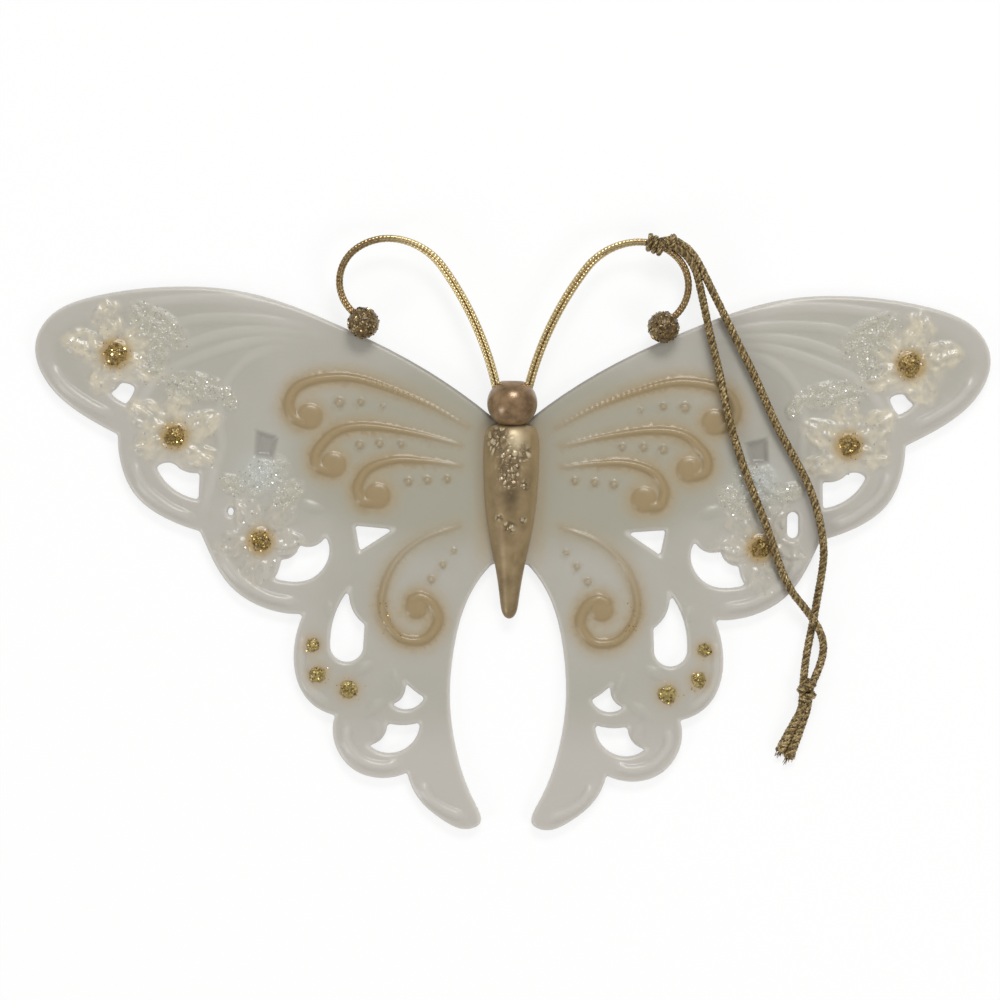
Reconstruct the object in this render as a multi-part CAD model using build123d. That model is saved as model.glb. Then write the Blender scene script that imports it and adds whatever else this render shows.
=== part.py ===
from build123d import *
import os
from math import cos, radians, sin, tan

# Butterfly ornament, lying on its back: one moulded wing plate, a glued body with a bead head,
# two curled wire antennae with glitter balls, glitter drops, and a cord loop for hanging it up.
# X runs across the wings, Y towards the head, Z up from the back face. Sizes are in millimetres.

# Wing plate: sheet and relief
PLATE_THICKNESS = 2.2
RELIEF_HEIGHT = 0.5
RELIEF_ROOT = 0.6
SCROLL_THIN_WIDTH = 0.6
SCROLL_BROAD_WIDTH = 1.9
SCROLL_DISC_RADIUS = 2.0
RIM_WIDTH = 1.1
PETAL_WIDTH = 5.0
FLOWER_PAD_RADIUS = 2.7
WINDOW_DEPTH = 0.8
CUT_MARGIN = 1.0
SLIT_WIDTH_RIGHT = 1.9
SLIT_LENGTH_RIGHT = 4.4
SLIT_WIDTH_LEFT = 1.0
SLIT_LENGTH_LEFT = 1.4

# Body and head
BODY_LENGTH = 32.4
BODY_TOP = 12.5
BODY_WIDTH = 9.3
BODY_WAIST_WIDTH = 7.8
BODY_TAIL_WIDTH = 3.2
BODY_SHOULDER_WIDTH = 6.6
BODY_WIDEST_DROP = 4.0
BODY_WAIST_DROP = 15.8
BODY_TAIL_RISE = 3.2
PEG_DIAMETER = 2.0
PEG_LENGTH = 1.7
PEG_CLEARANCE = 0.1
PEG_PLACES = (6.0, -6.0)
BEAD_DIAMETER = 8.4
BEAD_LENGTH = 7.35
BEAD_END_RADIUS = 1.8
BEAD_LIFT = 0.2
NECK_PIN_DIAMETER = 1.8
NECK_PIN_LENGTH = 5.0
NECK_PIN_ROOT = 1.5
NECK_CLEARANCE = 0.05

# Antennae
WIRE_DIAMETER = 1.5
WIRE_CLEARANCE = 0.05
FOOT_OUT = 2.4
FOOT_UP = 1.4
FOOT_HEADING = 78.0
STEM_RADIUS = 54.3
STEM_TURN = 24.7
SHOULDER_RADIUS = 11.5
SHOULDER_TURN = 46.0
CROWN_RADIUS = 9.3
CROWN_TURN = 41.4
CURL_RADIUS = 6.8
CURL_TURN = 101.0
CURL_LEAD = 0.3
BALL_DIAMETER = 5.3
BALL_SOCKET = 2.0

# Glitter drops
FLOWER_DROP_HEIGHT = 0.9
HINDWING_DROP_HEIGHT = 0.6

# Hanging cord
CORD_DIAMETER = 1.4
CORD_CLEARANCE = 0.25
HITCH_LENGTH = 3.9
HITCH_CLEARANCE = 0.08
HITCH_WALL = 1.2
HITCH_SHARE = 0.7
STRAND_GAP = 0.1
HITCH_BIGHT_LENGTH = 2.4
KNOT_WIDTH = 3.3
KNOT_LENGTH = 3.4
KNOT_END_RADIUS = 0.9
KNOT_PLACE = (50.0, -31.1)
CORD_BEND_SHARE = 0.45

# Levels worked out from the sizes above
PLATE_TOP = PLATE_THICKNESS
RELIEF_TOP = PLATE_TOP + RELIEF_HEIGHT
WIRE_RADIUS = WIRE_DIAMETER / 2
CORD_RADIUS = CORD_DIAMETER / 2
BEAD_HEIGHT = BEAD_DIAMETER / 2 + BEAD_LIFT
BEAD_PLACE = BODY_TOP + BEAD_LENGTH / 2
OVER_WING = RELIEF_TOP + CORD_RADIUS + CORD_CLEARANCE
ON_TABLE = CORD_RADIUS
CROSSING = 3 * CORD_RADIUS + CORD_CLEARANCE
HITCH_SAG = HITCH_LENGTH ** 2 / (8 * CROWN_RADIUS)
HITCH_BORE = WIRE_DIAMETER + HITCH_SAG + 2 * HITCH_CLEARANCE

# Right half of the outline: a run of two points is straight, of three an arc, of more a smooth curve
NECK = (0, 12.2)
WING_ROOT = (3.2, 13.8)
CROTCH = (3.0, -10.8)
NOTCHES = [(66.0, 10.0), (52.0, -6.0), (34.5, -19.6), (28.9, -36.5), (16.7, -45.9)]
OUTLINE = [
    [NECK, WING_ROOT],
    [WING_ROOT, (15, 21.9), (30, 29.2), (45, 34.2), (58, 34.9), (70, 33.2), (78, 29.3),
     (80, 25.2), (78.4, 19.2), (73, 13.9), NOTCHES[0]],
    [NOTCHES[0], (65.4, 5.1), (63, 0), (58, -3.8), NOTCHES[1]],
    [NOTCHES[1], (50.3, -9.7), (46.7, -15.2), (41, -18.7), NOTCHES[2]],
    [NOTCHES[2], (36, -26.2), (34.9, -31.9), NOTCHES[3]],
    [NOTCHES[3], (28.9, -41.2), (25.6, -45.6), (20.8, -46.9), NOTCHES[4]],
    [NOTCHES[4], (14.6, -50.4), (10.6, -53.8), (6.2, -55.2), (4.4, -54.3), (5.3, -50.8),
     (8.2, -43.4), (9.7, -34), (9.3, -26), (7.2, -17.3), CROTCH],
    [CROTCH, (0, CROTCH[1])],
    [(0, CROTCH[1]), NECK],
]

# Lace holes of the right half, drawn the same way
HOLES = [
    [[(63.2, 17.9), (64.6, 18.6), (65.8, 18.6)], [(65.8, 18.6), (66.4, 17.7), (67.4, 17.0)],
     [(67.4, 17.0), (66, 15.8), (64.7, 15.2)], [(64.7, 15.2), (63.8, 16.4), (63.2, 17.9)]],
    [[(52.2, 3.8), (54, 3.8), (55.6, 4.5)], [(55.6, 4.5), (57.2, 5.4), (59.5, 4.6)],
     [(59.5, 4.6), (56.8, 1.2), (52.3, -0.65)], [(52.3, -0.65), (52.2, 3.8)]],
    [[(31, -6.5), (33.1, -8.3), (35.4, -8)], [(35.4, -8), (36.2, -9.8), (38.4, -10.5)],
     [(38.4, -10.5), (38.7, -12.2), (39.5, -13.7)],
     [(39.5, -13.7), (37, -14.2), (33.2, -13.6), (30.4, -10), (31, -6.5)]],
    [[(19.6, -5.2), (26, -4.7)], [(26, -4.7), (25.2, -8.9)], [(25.2, -8.9), (19.6, -5.2)]],
    [[(26.8, -15.2), (29.2, -19.6), (29.9, -25.3)], [(29.9, -25.3), (27.5, -27.5), (24.4, -25.3)],
     [(24.4, -25.3), (24.2, -21.2)], [(24.2, -21.2), (26.1, -19.1), (26.8, -15.2)]],
    [[(17.3, -30.7), (15.7, -32.2), (14, -33.3)], [(14, -33.3), (16.6, -35.3), (19.4, -34.5)],
     [(19.4, -34.5), (17.5, -33), (17.3, -30.7)]],
    [[(14.7, -37.5), (17.5, -38), (20.2, -37.7)], [(20.2, -37.7), (20.8, -40), (23.3, -41.4)],
     [(23.3, -41.4), (18.8, -42.6), (14.7, -37.5)]],
]
SLIT_TOP_RIGHT = (47.3, -1.3)
SLIT_TOP_LEFT = (-46.9, -1.9)
WINDOW = [(39.2, 9.9), (42.7, 10.9), (42.9, 6.9), (40, 6.5)]

# Scroll ridges, each with its centre line from thin to broad and the disc that it ends in
SCROLLS = [
    ([(7.4, 12.2), (15, 16.2), (25, 19.7), (31, 20), (35.9, 18.6), (37.9, 15.4), (36.6, 12.5),
      (34.6, 11.6)], (33.9, 13.5)),
    ([(8.5, 9.1), (16, 10.9), (24, 12), (29, 11.2), (32.3, 8.4), (33.1, 6.2), (31.9, 4.1),
      (30.2, 3.5)], (29.8, 5.5)),
    ([(8.5, 5.6), (14, 6.3), (19.5, 6.4), (24, 4.8), (26.1, 1.6), (25.1, -0.9), (22.8, -1.7)],
     (22.3, 0.4)),
    ([(8.6, -4.5), (14.6, -6.7), (19, -10.4), (21.2, -15.5), (21, -19.8), (18.2, -23.3),
      (14.2, -23.6), (11.9, -20.6), (12.9, -17.7), (14.8, -16.3)], (15.5, -18.2)),
]

# Rim lines that follow the scallops
RIMS = [
    [(77.4, 21.4), (74.6, 17.8), (70.8, 15.1), (67.4, 13.4)],
    [(63.4, 5.4), (61.4, 1.4), (57.3, -2), (53.4, -3.7)],
    [(48.7, -9.4), (45.4, -13.6), (40.6, -16.7), (35.8, -17.6)],
    [(34.6, -23.2), (34.9, -27), (34, -31.2), (30.6, -34.5)],
    [(27, -38), (26.8, -41), (24.2, -44), (20.8, -44.9), (18, -44.2)],
    [(14.4, -47.6), (12.6, -50.4), (9.8, -52.2), (7, -53.2)],
]

# Flowers: centre, drop radius, and the middle of each petal
FLOWERS = [
    ((66.5, 23.5), 2.2, [(71.5, 25), (67.6, 28.7), (62.1, 26.8), (61.7, 21.6), (68.3, 19.4)]),
    ((56.4, 9.9), 2.0, [(52, 11.8), (52.4, 7.2), (56, 14.6), (60.8, 13), (60.6, 8.6)]),
    ((41.8, -7.5), 1.9, [(38.8, -3.4), (44.2, -3.2), (37.2, -8), (46.3, -8.2), (42.4, -12.2)]),
]
PETAL_INNER_GAP = 1.2

# Glitter drops on the hind wing, and small raised dots beside the scrolls: place and radius
HINDWING_DROPS = [((32.8, -24.7), 1.1), ((31.9, -29.7), 1.3), ((26.7, -32.1), 1.5)]
SMALL_DOTS = [
    ((21.6, 15.4), 0.35), ((25.3, 16), 0.6), ((28.9, 15.9), 0.85),
    ((18.5, 9.1), 0.6), ((22.1, 9.1), 0.7), ((25.4, 8.8), 0.75),
    ((10.7, 3.3), 0.6), ((14, 3.1), 0.65), ((17.2, 2.8), 0.7),
    ((9.4, -8.7), 0.4), ((11.2, -11), 0.55), ((13.1, -13.5), 0.65),
]


def run_edge(points):
    """Draw one run of an outline as a line, an arc or a smooth curve."""
    if len(points) == 2:
        return Line(*points)
    if len(points) == 3:
        return ThreePointArc(*points)
    return Spline(*points)


def outline_face(runs):
    """Close a list of runs into a flat face."""
    return make_face([run_edge(points) for points in runs])


def prism(face, low, high):
    """Stand a flat face up between two levels."""
    return Pos(0, 0, low) * extrude(face, high - low, dir=(0, 0, 1))


def band_face(points, start_width, end_width):
    """Widen a centre line into a band that changes evenly from its first width to its last."""
    stations = 3 * len(points)
    centre = Spline(*points)
    sides = ([], [])
    for step in range(stations + 1):
        share = step / stations
        place = centre @ share
        along = centre % share
        half = (start_width + (end_width - start_width) * share) / 2
        sides[0].append((place.X - along.Y * half, place.Y + along.X * half))
        sides[1].append((place.X + along.Y * half, place.Y - along.X * half))
    left, right = sides
    return make_face([Spline(*left), Line(left[-1], right[-1]), Spline(*right), Line(left[0], right[0])])


def petal_face(centre, middle):
    """Draw one petal as an ellipse that points at its flower's centre."""
    reach = Vector(*middle) - Vector(*centre)
    half_length = reach.length - PETAL_INNER_GAP
    heading = Vector(1, 0).get_signed_angle(reach)
    return Pos(*middle) * Rot(0, 0, heading) * Ellipse(half_length, PETAL_WIDTH / 2)


def dome(radius, height):
    """Make a flat-backed drop that stands on level zero."""
    profile = make_face([
        Line((0, 0), (radius, 0)),
        Spline((radius, 0), (0, height), tangents=[(0, height), (-radius, 0)]),
        Line((0, height), (0, 0)),
    ])
    return Rot(90, 0, 0) * revolve(profile, Axis.Y)


def half_wing():
    """Mould the right half of the plate with its relief, lace holes and thin window."""
    low = PLATE_TOP - RELIEF_ROOT
    sheet = prism(outline_face(OUTLINE), 0, PLATE_TOP)
    raised = []
    for points, disc in SCROLLS:
        raised.append(prism(band_face(points, SCROLL_THIN_WIDTH, SCROLL_BROAD_WIDTH), low, RELIEF_TOP))
        raised.append(prism(Pos(*disc) * Circle(SCROLL_DISC_RADIUS), low, RELIEF_TOP))
    for points in RIMS:
        raised.append(prism(band_face(points, RIM_WIDTH, RIM_WIDTH), low, RELIEF_TOP))
    for centre, _, petals in FLOWERS:
        raised.append(prism(Pos(*centre) * Circle(FLOWER_PAD_RADIUS), low, RELIEF_TOP))
        raised += [prism(petal_face(centre, middle), low, RELIEF_TOP) for middle in petals]
    for place, radius in SMALL_DOTS:
        raised.append(prism(Pos(*place) * Circle(radius), low, RELIEF_TOP))
    cuts = [prism(outline_face(runs), -CUT_MARGIN, RELIEF_TOP + CUT_MARGIN) for runs in HOLES]
    window = make_face(Polyline(*WINDOW, close=True))
    cuts.append(prism(window, PLATE_TOP - WINDOW_DEPTH, RELIEF_TOP + CUT_MARGIN))
    return sheet + raised - cuts


def wing_plate():
    """Join both halves, pierce the slits and sink the holes for the body's pegs."""
    right = half_wing()
    plate = (right + mirror(right, about=Plane.YZ)).clean()
    slits = [(SLIT_TOP_RIGHT, SLIT_LENGTH_RIGHT, SLIT_WIDTH_RIGHT),
             (SLIT_TOP_LEFT, SLIT_LENGTH_LEFT, SLIT_WIDTH_LEFT)]
    for (out, top), length, width in slits:
        slit = Pos(out, top - length / 2) * SlotOverall(length, width, rotation=90)
        plate -= prism(slit, -CUT_MARGIN, RELIEF_TOP + CUT_MARGIN)
    for place in PEG_PLACES:
        hole = Circle(PEG_DIAMETER / 2 + PEG_CLEARANCE)
        plate -= prism(Pos(0, place) * hole, PLATE_TOP - PEG_LENGTH - PEG_CLEARANCE, RELIEF_TOP)
    return plate


def body():
    """Turn the half-round body and add its pegs and neck pin."""
    tail = BODY_TOP - BODY_LENGTH
    widest = (BODY_WIDTH / 2, BODY_TOP - BODY_WIDEST_DROP)
    profile = make_face([
        Line((0, BODY_TOP), (BODY_SHOULDER_WIDTH / 2, BODY_TOP)),
        Spline((BODY_SHOULDER_WIDTH / 2, BODY_TOP), widest, tangents=[(1, -0.5), (0, -1)]),
        Spline(widest, (BODY_WAIST_WIDTH / 2, BODY_TOP - BODY_WAIST_DROP),
               (BODY_TAIL_WIDTH / 2, tail + BODY_TAIL_RISE), (0, tail), tangents=[(0, -1), (-1, -0.15)]),
        Line((0, tail), (0, BODY_TOP)),
    ])
    half_round = revolve(profile, Axis.Y, -180)
    if half_round.center().Z < 0:
        half_round = mirror(half_round, about=Plane.XY)
    shape = Pos(0, 0, PLATE_TOP) * half_round
    for place in PEG_PLACES:
        peg = Pos(0, place) * Circle(PEG_DIAMETER / 2)
        shape += prism(peg, PLATE_TOP - PEG_LENGTH, RELIEF_TOP)
    pin_length = NECK_PIN_LENGTH + NECK_PIN_ROOT
    pin = Cylinder(NECK_PIN_DIAMETER / 2, pin_length, align=(Align.CENTER, Align.CENTER, Align.MIN))
    return shape + Pos(0, BODY_TOP - NECK_PIN_ROOT, BEAD_HEIGHT) * Rot(-90, 0, 0) * pin


def antenna_path():
    """Bend the right antenna's centre line from the bead's socket to inside its ball."""
    foot = Vector(FOOT_OUT, BEAD_PLACE + FOOT_UP, BEAD_HEIGHT)
    heading = (cos(radians(FOOT_HEADING)), sin(radians(FOOT_HEADING)), 0)
    stem = JernArc(foot, heading, STEM_RADIUS, -STEM_TURN)
    shoulder = JernArc(stem @ 1, stem % 1, SHOULDER_RADIUS, -SHOULDER_TURN)
    crown = JernArc(shoulder @ 1, shoulder % 1, CROWN_RADIUS, -CROWN_TURN)
    curl = JernArc(crown @ 1, crown % 1, CURL_RADIUS, -CURL_TURN)
    lead = Line(curl @ 1, (curl @ 1) + (curl % 1) * (CURL_LEAD + BALL_SOCKET))
    return Wire([stem, shoulder, crown, curl, lead]), crown, lead


def tube(path, diameter):
    """Sweep a round section along a path."""
    return sweep(Plane(path @ 0, z_dir=path % 0) * Circle(diameter / 2), path=path)


def rod(start, direction, diameter, length):
    """Stand a cylinder on a point, along a direction."""
    stick = Cylinder(diameter / 2, length, align=(Align.CENTER, Align.CENTER, Align.MIN))
    return Plane(start, z_dir=direction) * stick


def head_bead(path):
    """Turn the bead, bore it for the neck pin and drill a socket for each antenna."""
    half = BEAD_LENGTH / 2
    profile = make_face([
        Line((0, -half), (BEAD_END_RADIUS, -half)),
        ThreePointArc((BEAD_END_RADIUS, -half), (BEAD_DIAMETER / 2, 0), (BEAD_END_RADIUS, half)),
        Line((BEAD_END_RADIUS, half), (0, half)),
        Line((0, half), (0, -half)),
    ])
    bead = Pos(0, BEAD_PLACE, BEAD_HEIGHT) * revolve(profile, Axis.Y)
    bore = Vector(0, BODY_TOP - CUT_MARGIN, BEAD_HEIGHT)
    bead -= rod(bore, (0, 1, 0), NECK_PIN_DIAMETER + 2 * NECK_CLEARANCE, BEAD_LENGTH + 2 * CUT_MARGIN)
    socket = rod(path @ 0, path % 0, WIRE_DIAMETER + 2 * WIRE_CLEARANCE, BEAD_LENGTH)
    return bead - socket - mirror(socket, about=Plane.YZ)


def antenna_ball(lead):
    """Make the ball on the right antenna, with a blind socket for the wire's end."""
    direction = lead % 1
    centre = (lead @ 1) + direction * (BALL_DIAMETER / 2 - BALL_SOCKET)
    socket = rod(lead @ 1, direction * -1, WIRE_DIAMETER + 2 * WIRE_CLEARANCE, BALL_DIAMETER)
    return Pos(centre) * Sphere(BALL_DIAMETER / 2) - socket


def hitch_axis(crown):
    """Find the hitch's middle, the way along it, and the way out of the wire's bend."""
    along = crown % HITCH_SHARE
    outward = Vector(-along.Y, along.X, 0)
    return (crown @ HITCH_SHARE) - outward * (HITCH_SAG / 2), along, outward


def hitch_exit(crown):
    """Find where the two strands leave the hitch along the wire, and the way across them."""
    middle, along, outward = hitch_axis(crown)
    place = middle + along * (HITCH_LENGTH / 2 + STRAND_GAP) + outward * (HITCH_BORE / 2 + CORD_DIAMETER)
    return place, along, outward


def cord_hitch(crown):
    """Make the lark's-head hitch as a sleeve round the wire with the bight lying along it."""
    middle, along, _ = hitch_axis(crown)
    place, heading, _ = hitch_exit(crown)
    start = middle - along * (HITCH_LENGTH / 2)
    sleeve = rod(start, along, HITCH_BORE + 2 * HITCH_WALL, HITCH_LENGTH)
    bight_start = place - heading * HITCH_BIGHT_LENGTH
    bight = rod(bight_start, heading, 2 * CORD_DIAMETER + STRAND_GAP, HITCH_BIGHT_LENGTH)
    hole = rod(start - along * HITCH_LENGTH, along, HITCH_BORE, 3 * HITCH_LENGTH)
    return sleeve + bight - hole


def cord_path(points):
    """Round a cord's points with the largest arcs that its runs allow."""
    radii = []
    for before, corner, after in zip(points, points[1:], points[2:]):
        arriving = Vector(corner) - Vector(before)
        leaving = Vector(after) - Vector(corner)
        turn = radians(arriving.get_angle(leaving))
        radii.append(CORD_BEND_SHARE * min(arriving.length, leaving.length) / tan(turn / 2))
    return FilletPolyline(*points, radius=radii), radii


def knot():
    """Turn the knot as a barrel lying on the table."""
    half = KNOT_LENGTH / 2
    profile = make_face([
        Line((0, -half), (KNOT_END_RADIUS, -half)),
        ThreePointArc((KNOT_END_RADIUS, -half), (KNOT_WIDTH / 2, 0), (KNOT_END_RADIUS, half)),
        Line((KNOT_END_RADIUS, half), (0, half)),
        Line((0, half), (0, -half)),
    ])
    return Pos(*KNOT_PLACE, KNOT_WIDTH / 2) * revolve(profile, Axis.Y)


def cord_routes(crown):
    """List the points of both strands and both tails, from the hitch to the cut ends."""
    place, along, across = hitch_exit(crown)
    start = place + along * STRAND_GAP
    inner_start = start - across * (CORD_RADIUS + STRAND_GAP / 2)
    outer_start = start + across * (CORD_RADIUS + STRAND_GAP / 2)
    wire = BEAD_HEIGHT
    inside = KNOT_WIDTH / 2
    return {
        "cord_strand_inner": [
            inner_start, (28.95, 42.25, wire), (30.5, 40.4, wire), (31.5, 37.3, wire - 0.1),
            (32.2, 33.2, wire - 0.3), (33.3, 28.2, OVER_WING), (34.6, 21.6, OVER_WING),
            (36, 14.8, OVER_WING), (38.1, 7.9, OVER_WING), (40.7, 1.2, OVER_WING),
            (43.3, -5, OVER_WING + 0.3), (45.0, -10.4, OVER_WING), (47, -14.6, OVER_WING),
            (49.5, -17.4, CROSSING + 0.3), (52, -20.8, CROSSING - 0.1), (53, -24.1, ON_TABLE + 0.2),
            (52, -27.9, ON_TABLE + 0.1), (50.5, -31, inside)],
        "cord_strand_outer": [
            outer_start, (29.75, 43.65, wire), (31.7, 41.3, wire), (33.2, 37.9, wire - 0.1),
            (34.7, 33.6, wire - 0.3), (36.4, 28.6, OVER_WING), (38.7, 23.2, OVER_WING),
            (41.4, 18, OVER_WING), (44.4, 12.6, OVER_WING), (47.4, 7.5, OVER_WING),
            (49.9, 2.9, OVER_WING), (51.6, -2.2, OVER_WING), (52.5, -7.4, OVER_WING),
            (52.3, -11.4, ON_TABLE + 0.9), (51.7, -15.3, ON_TABLE + 0.1), (51.1, -19.2, ON_TABLE),
            (50.3, -23.2, ON_TABLE), (49.7, -27, ON_TABLE + 0.1), (49.4, -30.7, inside)],
        "cord_tail_left": [
            (49.25, -31.2, inside), (49.0, -33.8, inside - 0.3), (48.3, -36.4, ON_TABLE + 0.1),
            (47.1, -39, ON_TABLE), (45.8, -41.4, ON_TABLE)],
        "cord_tail_right": [
            (50.75, -31.3, inside), (50.6, -34.2, inside - 0.3), (49.8, -37, ON_TABLE + 0.1),
            (48.6, -39.8, ON_TABLE), (47.2, -42.4, ON_TABLE)],
    }


def build():
    """Make every piece and return them by name."""
    path, crown, lead = antenna_path()
    wire = tube(path, WIRE_DIAMETER)
    ball = antenna_ball(lead)
    pieces = {
        "wing_plate": wing_plate(),
        "body": body(),
        "head_bead": head_bead(path),
        "antenna_wire_right": wire,
        "antenna_wire_left": mirror(wire, about=Plane.YZ),
        "antenna_ball_right": ball,
        "antenna_ball_left": mirror(ball, about=Plane.YZ),
        "cord_hitch": cord_hitch(crown),
        "cord_knot": knot(),
    }
    for side, name in ((1, "right"), (-1, "left")):
        for count, (place, radius, _) in enumerate(FLOWERS, start=1):
            drop = Pos(side * place[0], place[1], RELIEF_TOP) * dome(radius, FLOWER_DROP_HEIGHT)
            pieces[f"flower_centre_{name}_{count}"] = drop
        for count, (place, radius) in enumerate(HINDWING_DROPS, start=1):
            drop = Pos(side * place[0], place[1], PLATE_TOP) * dome(radius, HINDWING_DROP_HEIGHT)
            pieces[f"hindwing_dot_{name}_{count}"] = drop
    for name, points in cord_routes(crown).items():
        route, radii = cord_path(points)
        strand = tube(route, CORD_DIAMETER)
        section = Circle(CORD_RADIUS).area
        bends = " ".join(f"{radius:.1f}" for radius in radii)
        print(f"{name}: length {route.length:.1f}, volume {strand.volume:.2f}"
              f" against {section * route.length:.2f}, radii {bends}")
        pieces[name] = strand - pieces["cord_knot"]
    hinge, along, _ = hitch_axis(crown)
    print(f"cord hinge at {hinge.X:.3f}, {hinge.Y:.3f}, {hinge.Z:.3f} along {along.X:.5f}, {along.Y:.5f}")
    return pieces


os.makedirs("parts", exist_ok=True)
for node, shape in build().items():
    export_step(shape, f"parts/{node}.step")
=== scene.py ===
"""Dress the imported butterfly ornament: milky wings with gilt scrolls, glitter, gold body, wire and cord."""

import logging
import math
from dataclasses import dataclass
from enum import Enum
from typing import Sequence

import bmesh
import bpy
import numpy as np
from mathutils import Matrix, Vector, noise
from mathutils.kdtree import KDTree

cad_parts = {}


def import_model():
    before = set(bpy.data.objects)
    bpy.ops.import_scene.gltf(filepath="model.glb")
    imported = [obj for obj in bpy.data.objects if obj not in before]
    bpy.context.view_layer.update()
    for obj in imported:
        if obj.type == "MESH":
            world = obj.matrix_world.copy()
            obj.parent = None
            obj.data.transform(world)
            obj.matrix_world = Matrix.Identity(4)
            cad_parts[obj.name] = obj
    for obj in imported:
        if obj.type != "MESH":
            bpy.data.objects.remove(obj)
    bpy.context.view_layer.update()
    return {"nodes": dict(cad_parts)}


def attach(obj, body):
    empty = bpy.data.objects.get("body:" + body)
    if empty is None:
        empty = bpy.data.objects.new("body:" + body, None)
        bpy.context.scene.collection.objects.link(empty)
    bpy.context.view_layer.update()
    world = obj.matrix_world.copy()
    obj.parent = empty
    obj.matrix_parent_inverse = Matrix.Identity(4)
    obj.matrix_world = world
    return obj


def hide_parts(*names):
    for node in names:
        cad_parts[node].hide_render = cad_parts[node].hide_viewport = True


Point = tuple[float, float]
Place = tuple[float, float, float]
Mesh = bpy.types.Mesh
Piece = bpy.types.Object
Material = bpy.types.Material
Socket = bpy.types.NodeSocket

MM = 0.001
FULL_TURN = 2 * math.pi
FAR = 1000.0
LEAST_COVER = 0.02
LEAST_LENGTH = 1e-15
MERGE_GAP = 0.001 * MM
TUBE_MERGE_GAP = 0.0005 * MM
LOG = logging.getLogger("butterfly")

# The standard curve from screen values to linear light
SCREEN_TOP = 255
SCREEN_TOE = 0.04045
SCREEN_TOE_SLOPE = 12.92
SCREEN_LIFT = 0.055
SCREEN_POWER = 2.4


class Rider(Enum):
    """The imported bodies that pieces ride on."""

    ORNAMENT = "ornament"
    LOOP = "hanging_loop"


class Slot(Enum):
    """Names of material slots."""

    WING = "milky_plastic"
    BODY = "gold_paint"
    BEAD = "bronze_bead"
    WIRE = "gold_wire"
    BALL = "glitter_ball"
    DROP = "gold_glitter"
    CORD = "metallic_cord"


class Side(Enum):
    """The two wings, by the sign of X."""

    LEFT = -1
    RIGHT = 1

    def label(self) -> str:
        """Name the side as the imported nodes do."""
        return self.name.lower()


class Mask(Enum):
    """Painted areas that the finishes read as attributes."""

    HALO = "halo"
    GILT = "gilt"
    PETAL = "petal"
    FROST = "frost"
    COOL = "cool"
    CRUMPLED = "crumpled"
    PANE = "pane"
    OUTER = "outer"
    BAND = "band"
    # Edge: painted shade on the wings' front edge, a painted highlight on the body's sloping sides, and the
    # drops' paler edge
    EDGE = "edge"
    LIP_GLOW = "lip_glow"
    AMBER = "amber"
    # Painted highlight on the raised rim lines and veins
    RIDGE = "ridge"
    HAMMERED = "hammered"
    SHADE = "shade"
    # Tone: the own tone of flakes, wire and plies, and painted highlights on the body
    TONE = "tone"


# Finishes


@dataclass(frozen=True)
class Colour:
    """A colour in screen values from 0 to 255."""

    red: int
    green: int
    blue: int

    def linear(self) -> tuple[float, float, float, float]:
        """Give the colour as linear light.

        Returns:
            Red, green and blue light, and full cover.
        """
        light = []
        for value in (self.red, self.green, self.blue):
            share = value / SCREEN_TOP
            bent = ((share + SCREEN_LIFT) / (1 + SCREEN_LIFT)) ** SCREEN_POWER
            light.append(share / SCREEN_TOE_SLOPE if share <= SCREEN_TOE else bent)
        return light[0], light[1], light[2], 1.0


@dataclass(frozen=True)
class Clouds:
    """Cloudy noise: its grain in metres, its detail, and the range that is spread over another one."""

    grain: float
    detail: float = 3.0
    source: Point = (0.3, 0.7)
    target: Point = (0.0, 1.0)


@dataclass(frozen=True)
class Grain:
    """A finely uneven surface: its grain and depth in metres, and its strength."""

    size: float
    depth: float
    strength: float


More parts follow.
